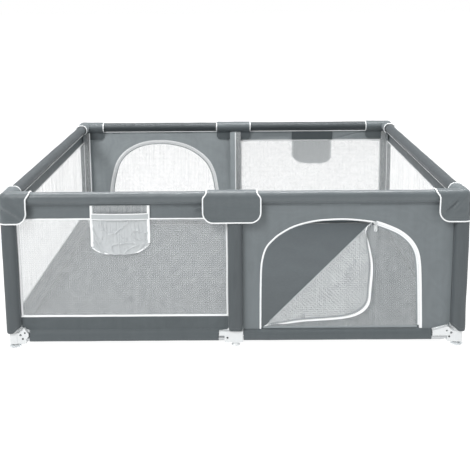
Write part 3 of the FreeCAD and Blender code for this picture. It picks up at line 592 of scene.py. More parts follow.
def top_sheet(side, s0, s1, z_low=WIN_TOP, seed=0.0, ns=None, folds=()):
    prof = top_profile(ARC_N, 10, z_low)
    ns = ns or int((s1 - s0) / 0.006)
    S = np.linspace(s0, s1, ns)
    P = np.zeros((ns, len(prof), 3))
    P[:, :, 0] = S[:, None]
    P[:, :, 1] = prof[None, :, 0]
    P[:, :, 2] = prof[None, :, 1]
    cz = P[:, :, 2] - ZR
    ring = np.arange(len(prof)) < ARC_N + 3
    lump = nz_field(P * np.array([1, 3.0, 3.0]), 9.0, seed) * 0.0011 + nz_field(P * np.array([1, 2.0, 2.0]), 38.0, seed + 2) * 0.00045
    rad = np.sqrt(P[:, :, 1] ** 2 + cz ** 2) + 1e-9
    w = ring.astype(float)
    w[:3] *= 0.2
    P[:, :, 1] += P[:, :, 1] / rad * lump * w[None, :]
    P[:, :, 2] += cz / rad * lump * w[None, :]
    # the band waves a little, most at mid height
    band = np.clip((SEAM_Z - P[:, :, 2]) / (SEAM_Z - z_low), 0, 1)
    wave = nz_field(P * np.array([1, 0, 1.6]), 7.0, seed + 5) * 0.0030 + nz_field(P * np.array([1, 0, 1.5]), 24.0, seed + 6) * 0.0010
    P[:, :, 1] += wave * np.sin(np.pi * np.clip(band, 0, 1)) * (band > 0)
    if folds:
        full = sstep(-0.350, -0.300, P[:, :, 0]) * (1 - sstep(-0.185, -0.120, P[:, :, 0]))
        P[:, :, 1] += 0.0062 * full * np.clip(band / 0.62, 0, 1) * np.clip((1 - band) / 0.30, 0, 1) * (band > 0)
    for (fs, fz, ds, dz, depth, width) in folds:      # diagonal pulls in the band
        u = ((P[:, :, 0] - fs) * dz - (P[:, :, 2] - fz) * ds) / math.hypot(ds, dz)
        v = ((P[:, :, 0] - fs) * ds + (P[:, :, 2] - fz) * dz) / math.hypot(ds, dz)
        P[:, :, 1] += depth * np.exp(-(u / width) ** 2) * np.exp(-(v / 0.09) ** 2) * (band > 0) * np.minimum(1, band * 4)
    cap = np.where((P[:, :, 0] > PK0 - 0.012) & (P[:, :, 0] < PK1 + 0.012) & (side in ("front", "rear")), 0.0018, 0.0085)
    P[:, :, 1] = np.where(band > 0.04, np.minimum(P[:, :, 1], cap), P[:, :, 1])
    return P


def rail_set(tag, side, s0, s1, node, seed, z_low=WIN_TOP, mat=None, folds=(), piping=True, band_mat=None):
    """Rail sleeve with its band, inner lap piping, lower edge piping and stitches."""
    P = top_sheet(side, s0, s1, z_low, seed, folds=folds)
    W = place(side, P)
    nu, nv = P.shape[:2]
    V, F = g_thick(W, 0.0011)
    faces_sleeve, faces_band = [], []
    cut = ARC_N + 5
    for q in F:
        js = [(i % (nu * nv)) % nv for i in q]
        (faces_sleeve if max(js) <= cut else faces_band).append(q)
    parts = [(V, faces_sleeve, 0), (np.zeros((0, 3)), [], 1)]
    # painted shade: by default the sleeve and the band take darker copies of the grey cloth
    ob = make("sleeve_" + tag, [(V, faces_sleeve + faces_band, 0)], [mat or GREY_RAIL_PAINTED_SHADE, band_mat or GREY_BAND_PAINTED_SHADE], replaces=node)
    # second material on the band: a darker copy of the grey cloth, painted shade
    me = ob.data
    cen = np.zeros(len(me.polygons) * 3)
    me.polygons.foreach_get("center", cen)
    cen = cen.reshape(-1, 3)
    mi = (cen[:, 2] < SEAM_Z - 0.0006).astype(np.int32)
    me.polygons.foreach_set("material_index", mi)
    # piping on the inner lap, between the covers
    lap = P[:, 0].copy()
    lap[:, 1] -= 0.0012
    lap[:, 2] -= 0.0005
    make("lap_piping_" + tag, [g_tube(place(side, lap[4:-4:2]), 0.0026, 8)], WHITE)
    if piping:
        low = P[:, -1].copy()
        low[:, 1] += 0.0004
        make("band_piping_" + tag, [g_tube(place(side, low[::2]), 0.0034, 8, flat=0.6, up=place(side, [[0, 1, 0]])[0] - place(side, [[0, 0, 0]])[0])], WHITE)
    st = []
    row = P[:, ARC_N + 6].copy()
    row[:, 1] += 0.0009
    row[:, 2] -= 0.0020
    st.append(g_stitches(place(side, row)))
    row = P[:, -2].copy()
    row[:, 1] += 0.0008
    row[:, 2] = z_low + 0.0062
    st.append(g_stitches(place(side, row)))
    make("band_stitching_" + tag, st, GREY_SEW, sharp=80)
    return P


# foam first, because the sleeves rest on it
def foam_bar(side, s0, s1, seed):
    S = np.linspace(s0, s1, int((s1 - s0) / 0.02))
    n = 28
    P = np.zeros((len(S), n, 3))
    for j in range(n):
        t = 2 * math.pi * j / n
        P[:, j, 0] = S
        P[:, j, 1] = math.cos(t)
        P[:, j, 2] = math.sin(t)
    lump = nz_field(P * np.array([1, 0.05, 0.05]), 12.0, seed) * 0.0006
    r = 0.0222 + lump
    r[0] -= 0.0012
    r[-1] -= 0.0012
    outer = P.copy()
    outer[:, :, 1] *= r
    outer[:, :, 2] = outer[:, :, 2] * r + ZR
    inner = P.copy()[::-1]
    inner[:, :, 1] *= 0.0113
    inner[:, :, 2] = inner[:, :, 2] * 0.0113 + ZR
    Q = np.concatenate([outer, inner])
    return g_sheet(place(side, Q), cu=True, cv=True)


FI = 0.061
foam = make("rail_foam_pads", [foam_bar("front", -PX + FI, -FI, 1), foam_bar("front", FI, PX - FI, 2), foam_bar("rear", -PX + FI, -FI, 3),
                               foam_bar("rear", FI, PX - FI, 4), foam_bar("left", -PY + FI, PY - FI, 5), foam_bar("right", -PY + FI, PY - FI, 6)],
            FOAM, replaces="rail_foam")

E = 0.031    # a panel starts this far from each post axis
FOLDS_F = [(-0.285, 0.590, 0.080, -0.026, 0.0090, 0.0042), (-0.230, 0.574, 0.090, 0.014, 0.0090, 0.0044), (-0.170, 0.590, 0.075, 0.006, 0.0080, 0.0040),
           (-0.255, 0.562, 0.070, -0.006, 0.0080, 0.0040), (-0.200, 0.583, 0.060, -0.012, 0.0080, 0.0036), (-0.76, 0.575, 0.06, 0.016, 0.0035, 0.007)]
# painted shade: the rail sleeves take darker copies of the grey cloth, the rear and side ones darker still
rail_set("front_left", "front", -PX + E, -E, "fabric_front_left", 11, folds=FOLDS_F)
# painted backlight: the rear band takes the lighter copy of the grey cloth
rail_set("rear_right", "rear", -PX + E, -E, "fabric_rear_right", 13, mat=GREY_RAIL_REAR_PAINTED_SHADE, folds=[(-0.70, 0.575, 0.08, -0.02, 0.006, 0.005), (-0.80, 0.580, 0.06, 0.02, 0.005, 0.005)], band_mat=GREY_PAINTED_BACKLIGHT)
# painted shade: the side panels' bands take the darker side copy of the grey cloth
rail_set("left", "left", -PY + E, PY - E, "fabric_left", 14, mat=GREY_RAIL_SIDE_PAINTED_SHADE, band_mat=GREY_SIDE_PAINTED_SHADE)
rail_set("right", "right", -PY + E, PY - E, "fabric_right", 15, mat=GREY_RAIL_SIDE_PAINTED_SHADE, band_mat=GREY_SIDE_PAINTED_SHADE)


# ---------------------------------------------------------------- bottom bands and hems
def bottom_profile(z_top, with_band=True):
    """From the band's upper edge down to the seam, round the bottom tube and up inside."""
    prof = []
    if with_band:
        for k in range(9):
            prof.append((0.0009, z_top + (HEM_SEAM + 0.0015 - z_top) * k / 8))
    prof += [(0.0016, HEM_SEAM + 0.0004), (0.0030, HEM_SEAM - 0.0012), (0.0075, HEM_SEAM - 0.0050), (0.0108, HEM_SEAM - 0.0115)]
    r = 0.0125
    zc = HEM_LOW + r
    prof.append((0.0124, (HEM_SEAM - 0.014 + zc) / 2 + 0.004))
    for k in range(13):
        t = -math.pi * k / 12
        prof.append((r * math.cos(t), zc + r * math.sin(t)))
    prof.append((-0.0124, (HEM_SEAM - 0.014 + zc) / 2 + 0.004))
    prof += [(-0.0108, HEM_SEAM - 0.0115), (-0.0075, HEM_SEAM - 0.0050), (-0.0034, HEM_SEAM - 0.0010), (-0.0020, HEM_SEAM + 0.0040)]
    return np.array(prof)


def bottom_sheet(side, s0, s1, h0, h1, z_top, seed, with_band=True, edge0=0.085, edge1=0.085):
    """s0..s1 where the band is at full width, h0..h1 where the hem runs round the tube."""
    prof = bottom_profile(z_top, with_band)
    ns = max(24, int((s1 - s0) / 0.0075))
    T = np.linspace(0, 1, ns)
    P = np.zeros((ns, len(prof), 3))
    for j, (o, z) in enumerate(prof):
        a = h0 + (s0 - h0) * float(sstep(0.064, edge0, z))
        b = h1 + (s1 - h1) * float(sstep(0.064, edge1, z))
        P[:, j, 0] = a + (b - a) * T
        P[:, j, 1] = o
        P[:, j, 2] = z
    n1 = nz_field(P * np.array([1, 0, 2.0]), 8.0, seed) * 0.0018 + nz_field(P * np.array([1, 0, 2.0]), 30.0, seed + 1) * 0.0007
    P[:, :, 1] += n1 * np.where(P[:, :, 2] > HEM_SEAM, np.clip((z_top - P[:, :, 2]) / 0.012, 0, 1), 0.30)
    P[:, :, 2] += nz_field(P * np.array([1, 0, 0]), 11.0, seed + 2) * 0.0005
    return P


def bottom_set(tag, side, s0, s1, h0, h1, node, seed, z_top=WIN_BOT, with_band=True, edge0=0.085, edge1=0.085, mat=None):
    P = bottom_sheet(side, s0, s1, h0, h1, z_top, seed, with_band, edge0, edge1)
    # painted shade: by default the bottom bands and hems take the darker low copy of the grey cloth
    ob = make(("bottom_band_" if with_band else "hem_") + tag, [g_thick(place(side, P), 0.0010)], mat or GREY_LOW_PAINTED_SHADE, replaces=node)
    if with_band:
        top = P[:, 0].copy()
        top[:, 1] += 0.0004
        make("sill_piping_" + tag, [g_tube(place(side, top[::2]), 0.0042, 8, flat=0.5, up=place(side, [[0, 1, 0]])[0] - place(side, [[0, 0, 0]])[0])], WHITE)
    st = []
    rows = [(0, -0.0065), (8, 0.0010)] if with_band else [(0, 0.0)]
    for j, dz in rows:
        row = P[:, j].copy()
        row[:, 1] += 0.0009
        row[:, 2] += dz
        st.append(g_stitches(place(side, row[1:-1])))
    make("hem_stitching_" + tag, st, GREY_SEW, sharp=80)
    return P


bottom_set("front_left", "front", -PX + E, -E, -PX + ARM_SHORT, -MID_SADDLE, "fabric_front_left", 21, edge1=0.068)
bottom_set("rear_right", "rear", -PX + E, -E, -PX + ARM_SHORT, -MID_SADDLE, "fabric_rear_right", 22, edge1=0.068)
# painted shade: the side bottom bands take the darker side copy of the grey cloth
bottom_set("left", "left", -PY + E, PY - E, -PY + ARM_SHORT, PY - ARM_LONG, "fabric_left", 23, mat=GREY_SIDE_PAINTED_SHADE)
bottom_set("right", "right", -PY + E, PY - E, -PY + ARM_SHORT, PY - ARM_LONG, "fabric_right", 24, mat=GREY_SIDE_PAINTED_SHADE)


# ---------------------------------------------------------------- mesh windows
def window(tag, side, s0, s1, node, net, seed):
    ns, nv = int((s1 - s0) / 0.012), 36
    S, Z = np.linspace(s0, s1, ns), np.linspace(WIN_BOT - 0.008, WIN_TOP + 0.008, nv)
    P = np.zeros((ns, nv, 3))
    P[:, :, 0], P[:, :, 2] = S[:, None], Z[None, :]
    u = (S - s0) / (s1 - s0)
    v = (Z - Z[0]) / (Z[-1] - Z[0])
    env = np.sin(np.pi * u)[:, None] ** 0.5 * np.sin(np.pi * v)[None, :] ** 0.5
    P[:, :, 1] = -0.0002 + env * (nz_field(P * np.array([1, 0, 1]), 2.6, seed) * 0.007 + nz_field(P * np.array([1, 0, 0.5]), 14.0, seed + 1) * 0.0016)
    ob = make("window_" + tag, [g_sheet(place(side, P))], net, replaces=node, recalc=False)
    # white bindings down both upright edges
    V = []
    up = place(side, [[0, 1, 0]])[0] - place(side, [[0, 0, 0]])[0]
    for s in (s0 + 0.002, s1 - 0.002):
        line = [[s + 0.0006 * math.sin(z * 23 + seed), 0.0010, z] for z in np.linspace(WIN_BOT - 0.004, WIN_TOP + 0.004, 40)]
        V.append(g_tube(place(side, line), 0.0040, 8, flat=0.45, up=up))
    make("window_binding_" + tag, V, WHITE)
    return P


window("front_left", "front", -PX + 0.033, -0.0305, "mesh_front_left", NET_X, 31)
window("rear_right", "rear", -PX + 0.033, -0.0305, "mesh_rear_right", NET_X, 32)
window("left", "left", -PY + 0.033, PY - 0.033, "mesh_left", NET_Y, 33)
window("right", "right", -PY + 0.033, PY - 0.033, "mesh_right", NET_Y, 34)


# ---------------------------------------------------------------- door walls
# outlines of the two zip doors, as the soft walls hold them: (along, up) in panel coordinates
ARCH = {
    "front": [(0.1050, 0.068), (0.1052, 0.130), (0.1055, 0.200), (0.1065, 0.270), (0.1085, 0.3300), (0.1150, 0.3780), (0.1300, 0.4200), (0.1540, 0.4490),
              (0.1850, 0.4750), (0.2417, 0.5065), (0.3227, 0.5278), (0.4036, 0.5345), (0.4700, 0.5335), (0.5413, 0.5255), (0.5681, 0.5196), (0.6090, 0.5060),
              (0.6668, 0.4790), (0.7100, 0.4420), (0.7360, 0.3980), (0.7470, 0.3437), (0.7520, 0.270), (0.7550, 0.202), (0.7580, 0.130), (0.7600, 0.068)],
    "rear": [(0.1100, 0.068), (0.1105, 0.118), (0.1130, 0.190), (0.1190, 0.2500), (0.1370, 0.3440), (0.1722, 0.4160), (0.2331, 0.4730), (0.3061, 0.5120),
             (0.3974, 0.5340), (0.4700, 0.5370), (0.5374, 0.5320), (0.6105, 0.5090), (0.6774, 0.4640), (0.7200, 0.4050), (0.7444, 0.3260), (0.7590, 0.2500),
             (0.7640, 0.160), (0.7660, 0.068)],
}
_ARCH = {}


def _outline(side, z0):
    if (side, z0) not in _ARCH:
        P = smooth_line([(x, 0.0, z) for x, z in ARCH[side]], 40)
        top = int(np.argmax(P[:, 2]))
        a = next(i for i in range(len(P)) if P[i, 2] >= z0)
        b = next(i for i in range(len(P) - 1, 0, -1) if P[i, 2] >= z0)
        Q = P[a:b + 1].copy()
        Q[0, 2] = Q[-1, 2] = z0
        d = np.gradient(Q, axis=0)
        d /= np.linalg.norm(d, axis=1, keepdims=True) + 1e-12
        N = np.stack([-d[:, 2], np.zeros(len(Q)), d[:, 0]], 1)
        arc = np.concatenate([[0], np.cumsum(np.linalg.norm(np.diff(Q, axis=0), axis=1))])
        _ARCH[(side, z0)] = (Q, N, arc)
    return _ARCH[(side, z0)]


def arch_point(t, off=0.0, z0=DZ0, side="front"):
    """Point on the door outline, moved outwards by off. t from 0 to 1 runs up the left side, over the top and down the right side."""
    Q, N, arc = _outline(side, z0)
    v = t * arc[-1]
    q = [float(np.interp(v, arc, Q[:, k] + N[:, k] * off)) for k in (0, 2)]
    return q[0], q[1]


def arch_len(side="front"):
    return float(_outline(side, DZ0)[2][-1])


WALL_TOP = SEAM_Z + 0.001
OUTER = [(E, 0.0675), (PX - ARM_LONG, 0.0655), (PX - E, 0.0850), (PX - E, WALL_TOP), (E, WALL_TOP)]


def ray_out(cx, cz, dx, dz):
    best = None
    for i in range(len(OUTER)):
        (x0, z0), (x1, z1) = OUTER[i], OUTER[(i + 1) % len(OUTER)]
        ex, ez = x1 - x0, z1 - z0
        den = dx * ez - dz * ex
        if abs(den) < 1e-12:
            continue
        t = ((x0 - cx) * ez - (z0 - cz) * ex) / den
        w = ((x0 - cx) * dz - (z0 - cz) * dx) / den
        if t > 0 and -1e-9 <= w <= 1 + 1e-9 and (best is None or t > best):
            best = t
    return cx + dx * best, cz + dz * best


def wall_grid(seed, side, M=22):
    """Rings from the door outline out to the wall's edges."""
    A = [arch_point(t, side=side) for t in np.linspace(0, 1, 170)]
    A += [(A[-1][0] + (A[0][0] - A[-1][0]) * k / 60, DZ0) for k in range(1, 60)]
    c = (XC, 0.26)
    P = np.zeros((len(A), M + 1, 3))
    for i, (x, z) in enumerate(A):
        bx, bz = ray_out(c[0], c[1], x - c[0], z - c[1])
        for k in range(M + 1):
            t = k / M
            P[i, k] = (x + (bx - x) * t, 0, z + (bz - z) * t)
    edge = np.minimum(np.minimum((P[:, :, 0] - E), (PX - E - P[:, :, 0])), np.minimum(P[:, :, 2] - 0.066, WALL_TOP - P[:, :, 2]))
    env = sstep(0.0, 0.05, edge) * sstep(0.012, 0.055, np.linalg.norm(P - P[:, :1], axis=2))
    n = nz_field(P * np.array([1, 0, 1]), 5.0, seed) * 0.0040 + nz_field(P * np.array([1, 0, 1.3]), 17.0, seed + 1) * 0.0014
    P[:, :, 1] = 0.0006 + env * n
    return P


def door_wall(tag, side, node, seed):
    P = wall_grid(seed, side)
    # painted light: the rear wall takes the lighter copy of the grey cloth
    ob = make("door_wall_cloth_" + tag, [g_thick(place(side, P), 0.0011, cu=True)], GREY if tag == "front" else GREY_PAINTED_LIT_REAR, replaces=node)
    pts = [arch_point(t, side=side) for t in np.linspace(0, 1, 400)]
    return P


WALLS = {}
for _tag, _side, _seed in (("front", "front", 41), ("rear", "rear", 42)):
    node = "door_wall_" + _tag
    WALLS[_tag] = door_wall(_tag, _side, node, _seed)
    # rail sleeve over the wall, ending in the seam allowance
    # painted shade: the door walls' rail sleeves take the darker rail copies, the rear one darkest
    Pt = rail_set("door_" + _tag, _side, E, PX - E, node, _seed + 3, z_low=SEAM_Z - 0.010, piping=False, mat=GREY_RAIL_PAINTED_SHADE if _side == "front" else GREY_RAIL_REAR_PAINTED_SHADE)
    # painted shade: the hem takes the darker low copy of the grey cloth
    bottom_set("door_" + _tag, _side, E, PX - E, MID_R, PX - ARM_LONG, node, _seed + 5, z_top=0.0685, with_band=False)


# ---------------------------------------------------------------- zips
def ribbon_on_arch(side, off0, off1, o, thick, t0, t1, n=220, m=5, wav=0.0, seed=0.0, crown=0.0):
    """A flat ribbon between two offsets of the door outline, at distance o in front of the wall plane."""
    P = np.zeros((n, m, 3))
    for i, t in enumerate(np.linspace(t0, t1, n)):
        for k in range(m):
            f = k / (m - 1)
            x, z = arch_point(t, off0 + (off1 - off0) * f, side=side)
            P[i, k] = (x, o + crown * math.sin(math.pi * f), z)
    if wav:
        P[:, :, 1] += nz_field(P * np.array([1, 0, 1]), 25.0, seed) * wav
    return g_thick(place(side, P), thick)


def teeth_on(line, side_vec, pitch=0.0030, size=(0.0013, 0.0010, 0.0011), up=None):
    """Zip teeth: small rounded blocks along a line."""
    pts = resample(line, pitch)
    tan = np.gradient(pts, axis=0)
    tan /= np.linalg.norm(tan, axis=1, keepdims=True)
    V, F = [], []
    up = np.asarray(up, float)
    for p, t in zip(pts, tan):
        u = up
        w = np.cross(t, u)
        w /= np.linalg.norm(w)
        base = len(V)
        for a, k in ((-1, 0.8), (1, 0.8)):
            for b, c in ((-1, -0.6), (1, -0.6), (1, 0.6), (-1, 0.6)):
                V.append(p + t * b * size[0] * k + w * a * size[1] + u * c * size[2])
        q = base
        F += [(q, q + 3, q + 2, q + 1), (q + 4, q + 5, q + 6, q + 7), (q, q + 1, q + 5, q + 4), (q + 1, q + 2, q + 6, q + 5), (q + 2, q + 3, q + 7, q + 6), (q + 3, q, q + 4, q + 7)]
    return np.array(V), F


def t_at_x(x):
    Q, N, arc = _outline("front", DZ0)
    k = min(range(len(Q)), key=lambda i: abs(Q[i, 0] - x) + (5 if Q[i, 2] < 0.4 else 0))
    return float(arc[k] / arc[-1])


T_FOLD = t_at_x(0.5533)              # where the open part of the front zip ends
OUT = {s: place(s, [[0, 1, 0]])[0] - place(s, [[0, 0, 0]])[0] for s in SIDES}

# front: a narrow tape where the zip is open, and the full closed zip to the right of the slider
tp = [ribbon_on_arch("front", 0.0002, 0.0058, 0.0022, 0.0010, 0.0, T_FOLD + 0.012, n=200, crown=0.0006)]
tp.append(ribbon_on_arch("front", 0.0000, 0.0105, 0.0022, 0.0011, T_FOLD + 0.012, 1.0, n=150, crown=0.0008))
zt = make("zip_tape_front", tp, WHITE_TAPE, replaces="zip_tapes")
round(arch_len(), 3)
lines = []
for t0, t1, off in ((0.004, T_FOLD, -0.0004), (T_FOLD + 0.012, 0.997, -0.0008)):
    L = np.array([[*arch_point(t, off), 0.0030] for t in np.linspace(t0, t1, 300)])[:, [0, 2, 1]]
    lines.append(teeth_on(place("front", L), None, up=OUT["front"]))
make("zip_teeth_front", lines, TEETH)
# rear: closed all round
zt = make("zip_tape_rear", [ribbon_on_arch("rear", 0.0000, 0.0110, 0.0022, 0.0011, 0.0, 1.0, n=260, crown=0.0008)], WHITE_TAPE, replaces="zip_tapes")
round(arch_len("rear"), 3)
L = np.array([[*arch_point(t, -0.0006, side="rear"), 0.0030] for t in np.linspace(0.004, 0.996, 500)])[:, [0, 2, 1]]
make("zip_teeth_rear", [teeth_on(place("rear", L), None, up=OUT["rear"])], TEETH)
# the inner face of each zip, seen from inside the playpen
for s_ in ("front", "rear"):
    zt = make("zip_tape_inside_" + s_, [ribbon_on_arch(s_, 0.0004, 0.0130 if s_ == "rear" else 0.0090, -0.0022, 0.0010, 0.0, 1.0, n=260, crown=-0.0006)], WHITE_TAPE)
    round(arch_len(s_), 3)


# ---------------------------------------------------------------- doors
def door_side_tape(tag, side, t0, t1, body):
    """The half of the zip that is sewn to the door, with its grey binding."""
    mk = [ribbon_on_arch(side, -0.0075, -0.0012, 0.0012, 0.0009, t0, t1, n=int(260 * (t1 - t0)) + 20, crown=0.0005)]
    a = make("door_tape_" + tag, mk, WHITE_TAPE, body=body)
    b = make("door_binding_" + tag, [ribbon_on_arch(side, -0.0125, -0.0073, 0.0010, 0.0012, t0, t1, n=int(260 * (t1 - t0)) + 20, crown=0.0008)], BINDING, body=body)
    return a, b


def arch_fill(side, inset, z_low, o_fun, n=150, m=26, keep=None):
    """Mesh of the region inside the door outline: columns between mirrored points of the arch."""
    ts = np.linspace(0, 0.5, n)
    P = np.zeros((n, m, 3))
    for i, t in enumerate(ts):
        x, z = arch_point(t, -inset, z_low, side)
        x1, z1 = arch_point(1 - t, -inset, z_low, side)
        for k in range(m):
            f = k / (m - 1)
            P[i, k] = (x + (x1 - x) * f, 0, z + (z1 - z) * f)
    P[:, :, 1] = o_fun(P)
    return P


def rear_o(P):
    u = (P[:, :, 0] - XC) / DA
    v = (P[:, :, 2] - DZ0) / (DZS + DB - DZ0)
    env = np.clip(1 - u ** 2, 0, 1) * np.sin(np.pi * np.clip(v, 0, 1)) ** 0.6
    return 0.0002 + env * (nz_field(P * np.array([1, 0, 1]), 3.0, 51) * 0.007)


Pd = arch_fill("rear", 0.011, DZ0 + 0.004, rear_o, n=110, m=60)
rd = make("rear_door_net", [g_sheet(place("rear", Pd))], NET_DOOR, body="rear_door", replaces="rear_door", recalc=False, weld=1e-5)
door_side_tape("rear", "rear", 0.010, 0.990, "rear_door")
xa, xb = ARCH["rear"][0][0] + 0.010, ARCH["rear"][-1][0] - 0.010
sill = [[xa + (xb - xa) * k / 60, 0.0006, DZ0 + 0.0055] for k in range(61)]
make("rear_door_sill_binding", [g_tube(place("rear", sill), 0.0042, 8, flat=0.4, up=OUT["rear"])], BINDING, body="rear_door")

# front door: the part still zipped, a rolled fold, and the corner that hangs open
FX0, FZ0, FX1, FZ1 = 0.1148, 0.0720, 0.5533, 0.52081
FU = np.array([FX1 - FX0, FZ1 - FZ0])
FL = float(np.linalg.norm(FU))
FU = FU / FL
FN = np.array([-FU[1], FU[0]])        # to the upper left of the fold
FOLD_O = 0.0030                       # the fold's axis, in front of the door plane

# free edge of the opened corner, as it hangs, from the sill end to the top of the fold
FREE = smooth_line([(0.1190, 0, 0.0800), (0.1500, 0, 0.0920), (0.1830, 0, 0.0985), (0.2620, 0, 0.1125), (0.3430, 0, 0.1200), (0.4300, 0, 0.1270),
                    (0.4840, 0, 0.1400), (0.5210, 0, 0.1640), (0.5390, 0, 0.1960), (0.5430, 0, 0.2425), (0.5480, 0, 0.3230), (0.5460, 0, 0.3720),
                    (0.5370, 0, 0.4246), (0.5300, 0, 0.4773), (0.5330, 0, 0.5056), (0.5450, 0, 0.5160)], 8)


def front_cloth():
    """One cloth: closed part, roll along the fold, opened corner. Rows run from the zip to the free edge."""
    n = 96
    ts = np.linspace(0, 1, n)
    # closed part: from the sill and right-hand outline to the fold
    t_end = T_FOLD
    xa, xb = ARCH["front"][0][0] + 0.008, ARCH["front"][-1][0] - 0.011
    outline = [(xa + (xb - xa) * k / 80, DZ0 + 0.0045) for k in range(0, 81)]
    outline += [arch_point(t, -0.011, DZ0 + 0.0045) for t in np.linspace(1.0, t_end, 160)]
    outline = np.array([(x, 0.0, z) for x, z in outline])
    o = resample(outline, 0.004)
    s = np.linspace(0, 1, len(o))
    side_pts = np.stack([np.interp(ts, s, o[:, i]) for i in range(3)], 1)
    fold_pts = np.stack([FX0 + (FX1 - FX0) * ts, np.zeros(n), FZ0 + (FZ1 - FZ0) * ts], 1)
    f = resample(FREE, 0.004)
    s = np.linspace(0, 1, len(f))
    free_pts = np.stack([np.interp(ts, s, f[:, i]) for i in range(3)], 1)
    rows = []
    K = 26
    fo = FOLD_O * (0.22 + 0.78 * sstep(0.0, 0.12, ts))      # the roll thins out at the sill
    for k in range(K):                       # closed part
        w = k / (K - 1)
        q = side_pts + (fold_pts - side_pts) * w
        rows.append(q)
    closed_rows = len(rows)
    for k in range(1, 8):                    # roll, half a turn about the fold's axis
        a = math.pi * k / 8
        q = fold_pts.copy()
        q[:, 0] += FN[0] * fo * math.sin(a)
        q[:, 2] += FN[1] * fo * math.sin(a)
        q[:, 1] = fo - fo * math.cos(a)
        rows.append(q)
    roll_rows = len(rows)
    for k in range(K):                       # opened corner
        w = k / (K - 1)
        q = fold_pts + (free_pts - fold_pts) * w
        u = np.sin(np.pi * ts)
        lift = 2 * fo + 0.0006 + 0.010 * w ** 1.3 * u ** 0.7 + 0.0035 * math.sin(math.pi * w) * u
        q[:, 1] = lift
        rows.append(q)
    P = np.array(rows)                       # (rows, n, 3)
    c = P[:closed_rows]
    env = np.sin(np.pi * np.linspace(0, 1, closed_rows))[:, None] * np.sin(np.pi * ts)[None, :] ** 0.5
    c[:, :, 1] += -np.abs(env * nz_field(c * np.array([1, 0, 1]), 6.0, 61)) * 0.0035 - 0.0004
    e = P[roll_rows:]
    env = np.linspace(0, 1, len(e))[:, None] ** 0.7 * np.sin(np.pi * ts)[None, :] ** 0.5
    e[:, :, 1] += np.abs(env * (nz_field(e * np.array([1, 0, 1]), 7.0, 62) * 0.0060 + nz_field(e * np.array([1, 0, 1]), 22.0, 63) * 0.0015))
    return P, closed_rows, roll_rows


PF, CR, RR = front_cloth()
_v, _f = g_sheet(place("front", PF))
_rows = [min(q) // PF.shape[1] for q in _f]
fc = make("front_door_net", [(_v, [q for q, r in zip(_f, _rows) if r < RR - 4] + [q for q, r in zip(_f, _rows) if r >= RR - 4])], [NET_DOOR, NET_FLAP],
          body=None, replaces=("front_door", "front_door_corner"), recalc=False, weld=1e-5)
_cen = np.zeros(len(fc.data.polygons) * 3)
fc.data.polygons.foreach_get("center", _cen)
fc.data.polygons.foreach_set("material_index", (-PY - _cen.reshape(-1, 3)[:, 1] > 0.0045).astype(np.int32))
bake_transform(fc)
# a light edge where the net doubles over
edge = []
for k in range(81):
    t = 0.060 + 0.936 * k / 80
    edge.append([FX0 + (FX1 - FX0) * t + FN[0] * (FOLD_O + 0.0002), FOLD_O, FZ0 + (FZ1 - FZ0) * t + FN[1] * (FOLD_O + 0.0002)])
make("front_door_fold_edge", [g_tube(place("front", edge), 0.0012, 6)], BINDING, body="front_door_corner")

door_side_tape("front", "front", T_FOLD + 0.012, 0.990, "front_door")
xa, xb = ARCH["front"][0][0] + 0.010, ARCH["front"][-1][0] - 0.010
sill = [[xa + (xb - xa) * k / 60, 0.0000, DZ0 + 0.0055] for k in range(61)]
make("front_door_sill_binding", [g_tube(place("front", sill), 0.0042, 8, flat=0.35, up=OUT["front"])], BINDING, body="front_door")

# free edge of the opened corner: white tape, grey binding and teeth
e_rows = PF[RR:]
n_e = e_rows.shape[1]
last, prev = e_rows[-1], e_rows[-4]
dirn = last - prev
dirn[:, 1] = 0
dirn /= np.linalg.norm(dirn, axis=1, keepdims=True) + 1e-12
tape_w = 0.0165 * np.clip(np.sin(np.pi * np.linspace(0.02, 0.985, n_e)) * 3.2, 0.25, 1.0)
TP = np.zeros((n_e, 5, 3))
for k in range(5):
    f = k / 4
    TP[:, k] = last + dirn * (tape_w[:, None] * (f - 0.15))
    TP[:, k, 1] = last[:, 1] + 0.0014 + 0.0006 * math.sin(math.pi * f)
make("corner_tape_front", [g_thick(place("front", TP), 0.0011)], WHITE_TAPE, body="front_door_corner")
BP = np.zeros((n_e, 4, 3))
for k in range(4):
    f = k / 3
    BP[:, k] = last - dirn * (0.0018 + 0.0042 * f)
    BP[:, k, 1] = last[:, 1] + 0.0012
make("corner_binding_front", [g_thick(place("front", BP[2:-2]), 0.0010)], BINDING, body="front_door_corner")
tl = last - dirn * 0.0006
tl[:, 1] = last[:, 1] + 0.0026
make("corner_teeth_front", [teeth_on(place("front", tl[4:-4]), None, pitch=0.0078, size=(0.0024, 0.0022, 0.0013), up=OUT["front"])], TEETH_DARK, body="front_door_corner")


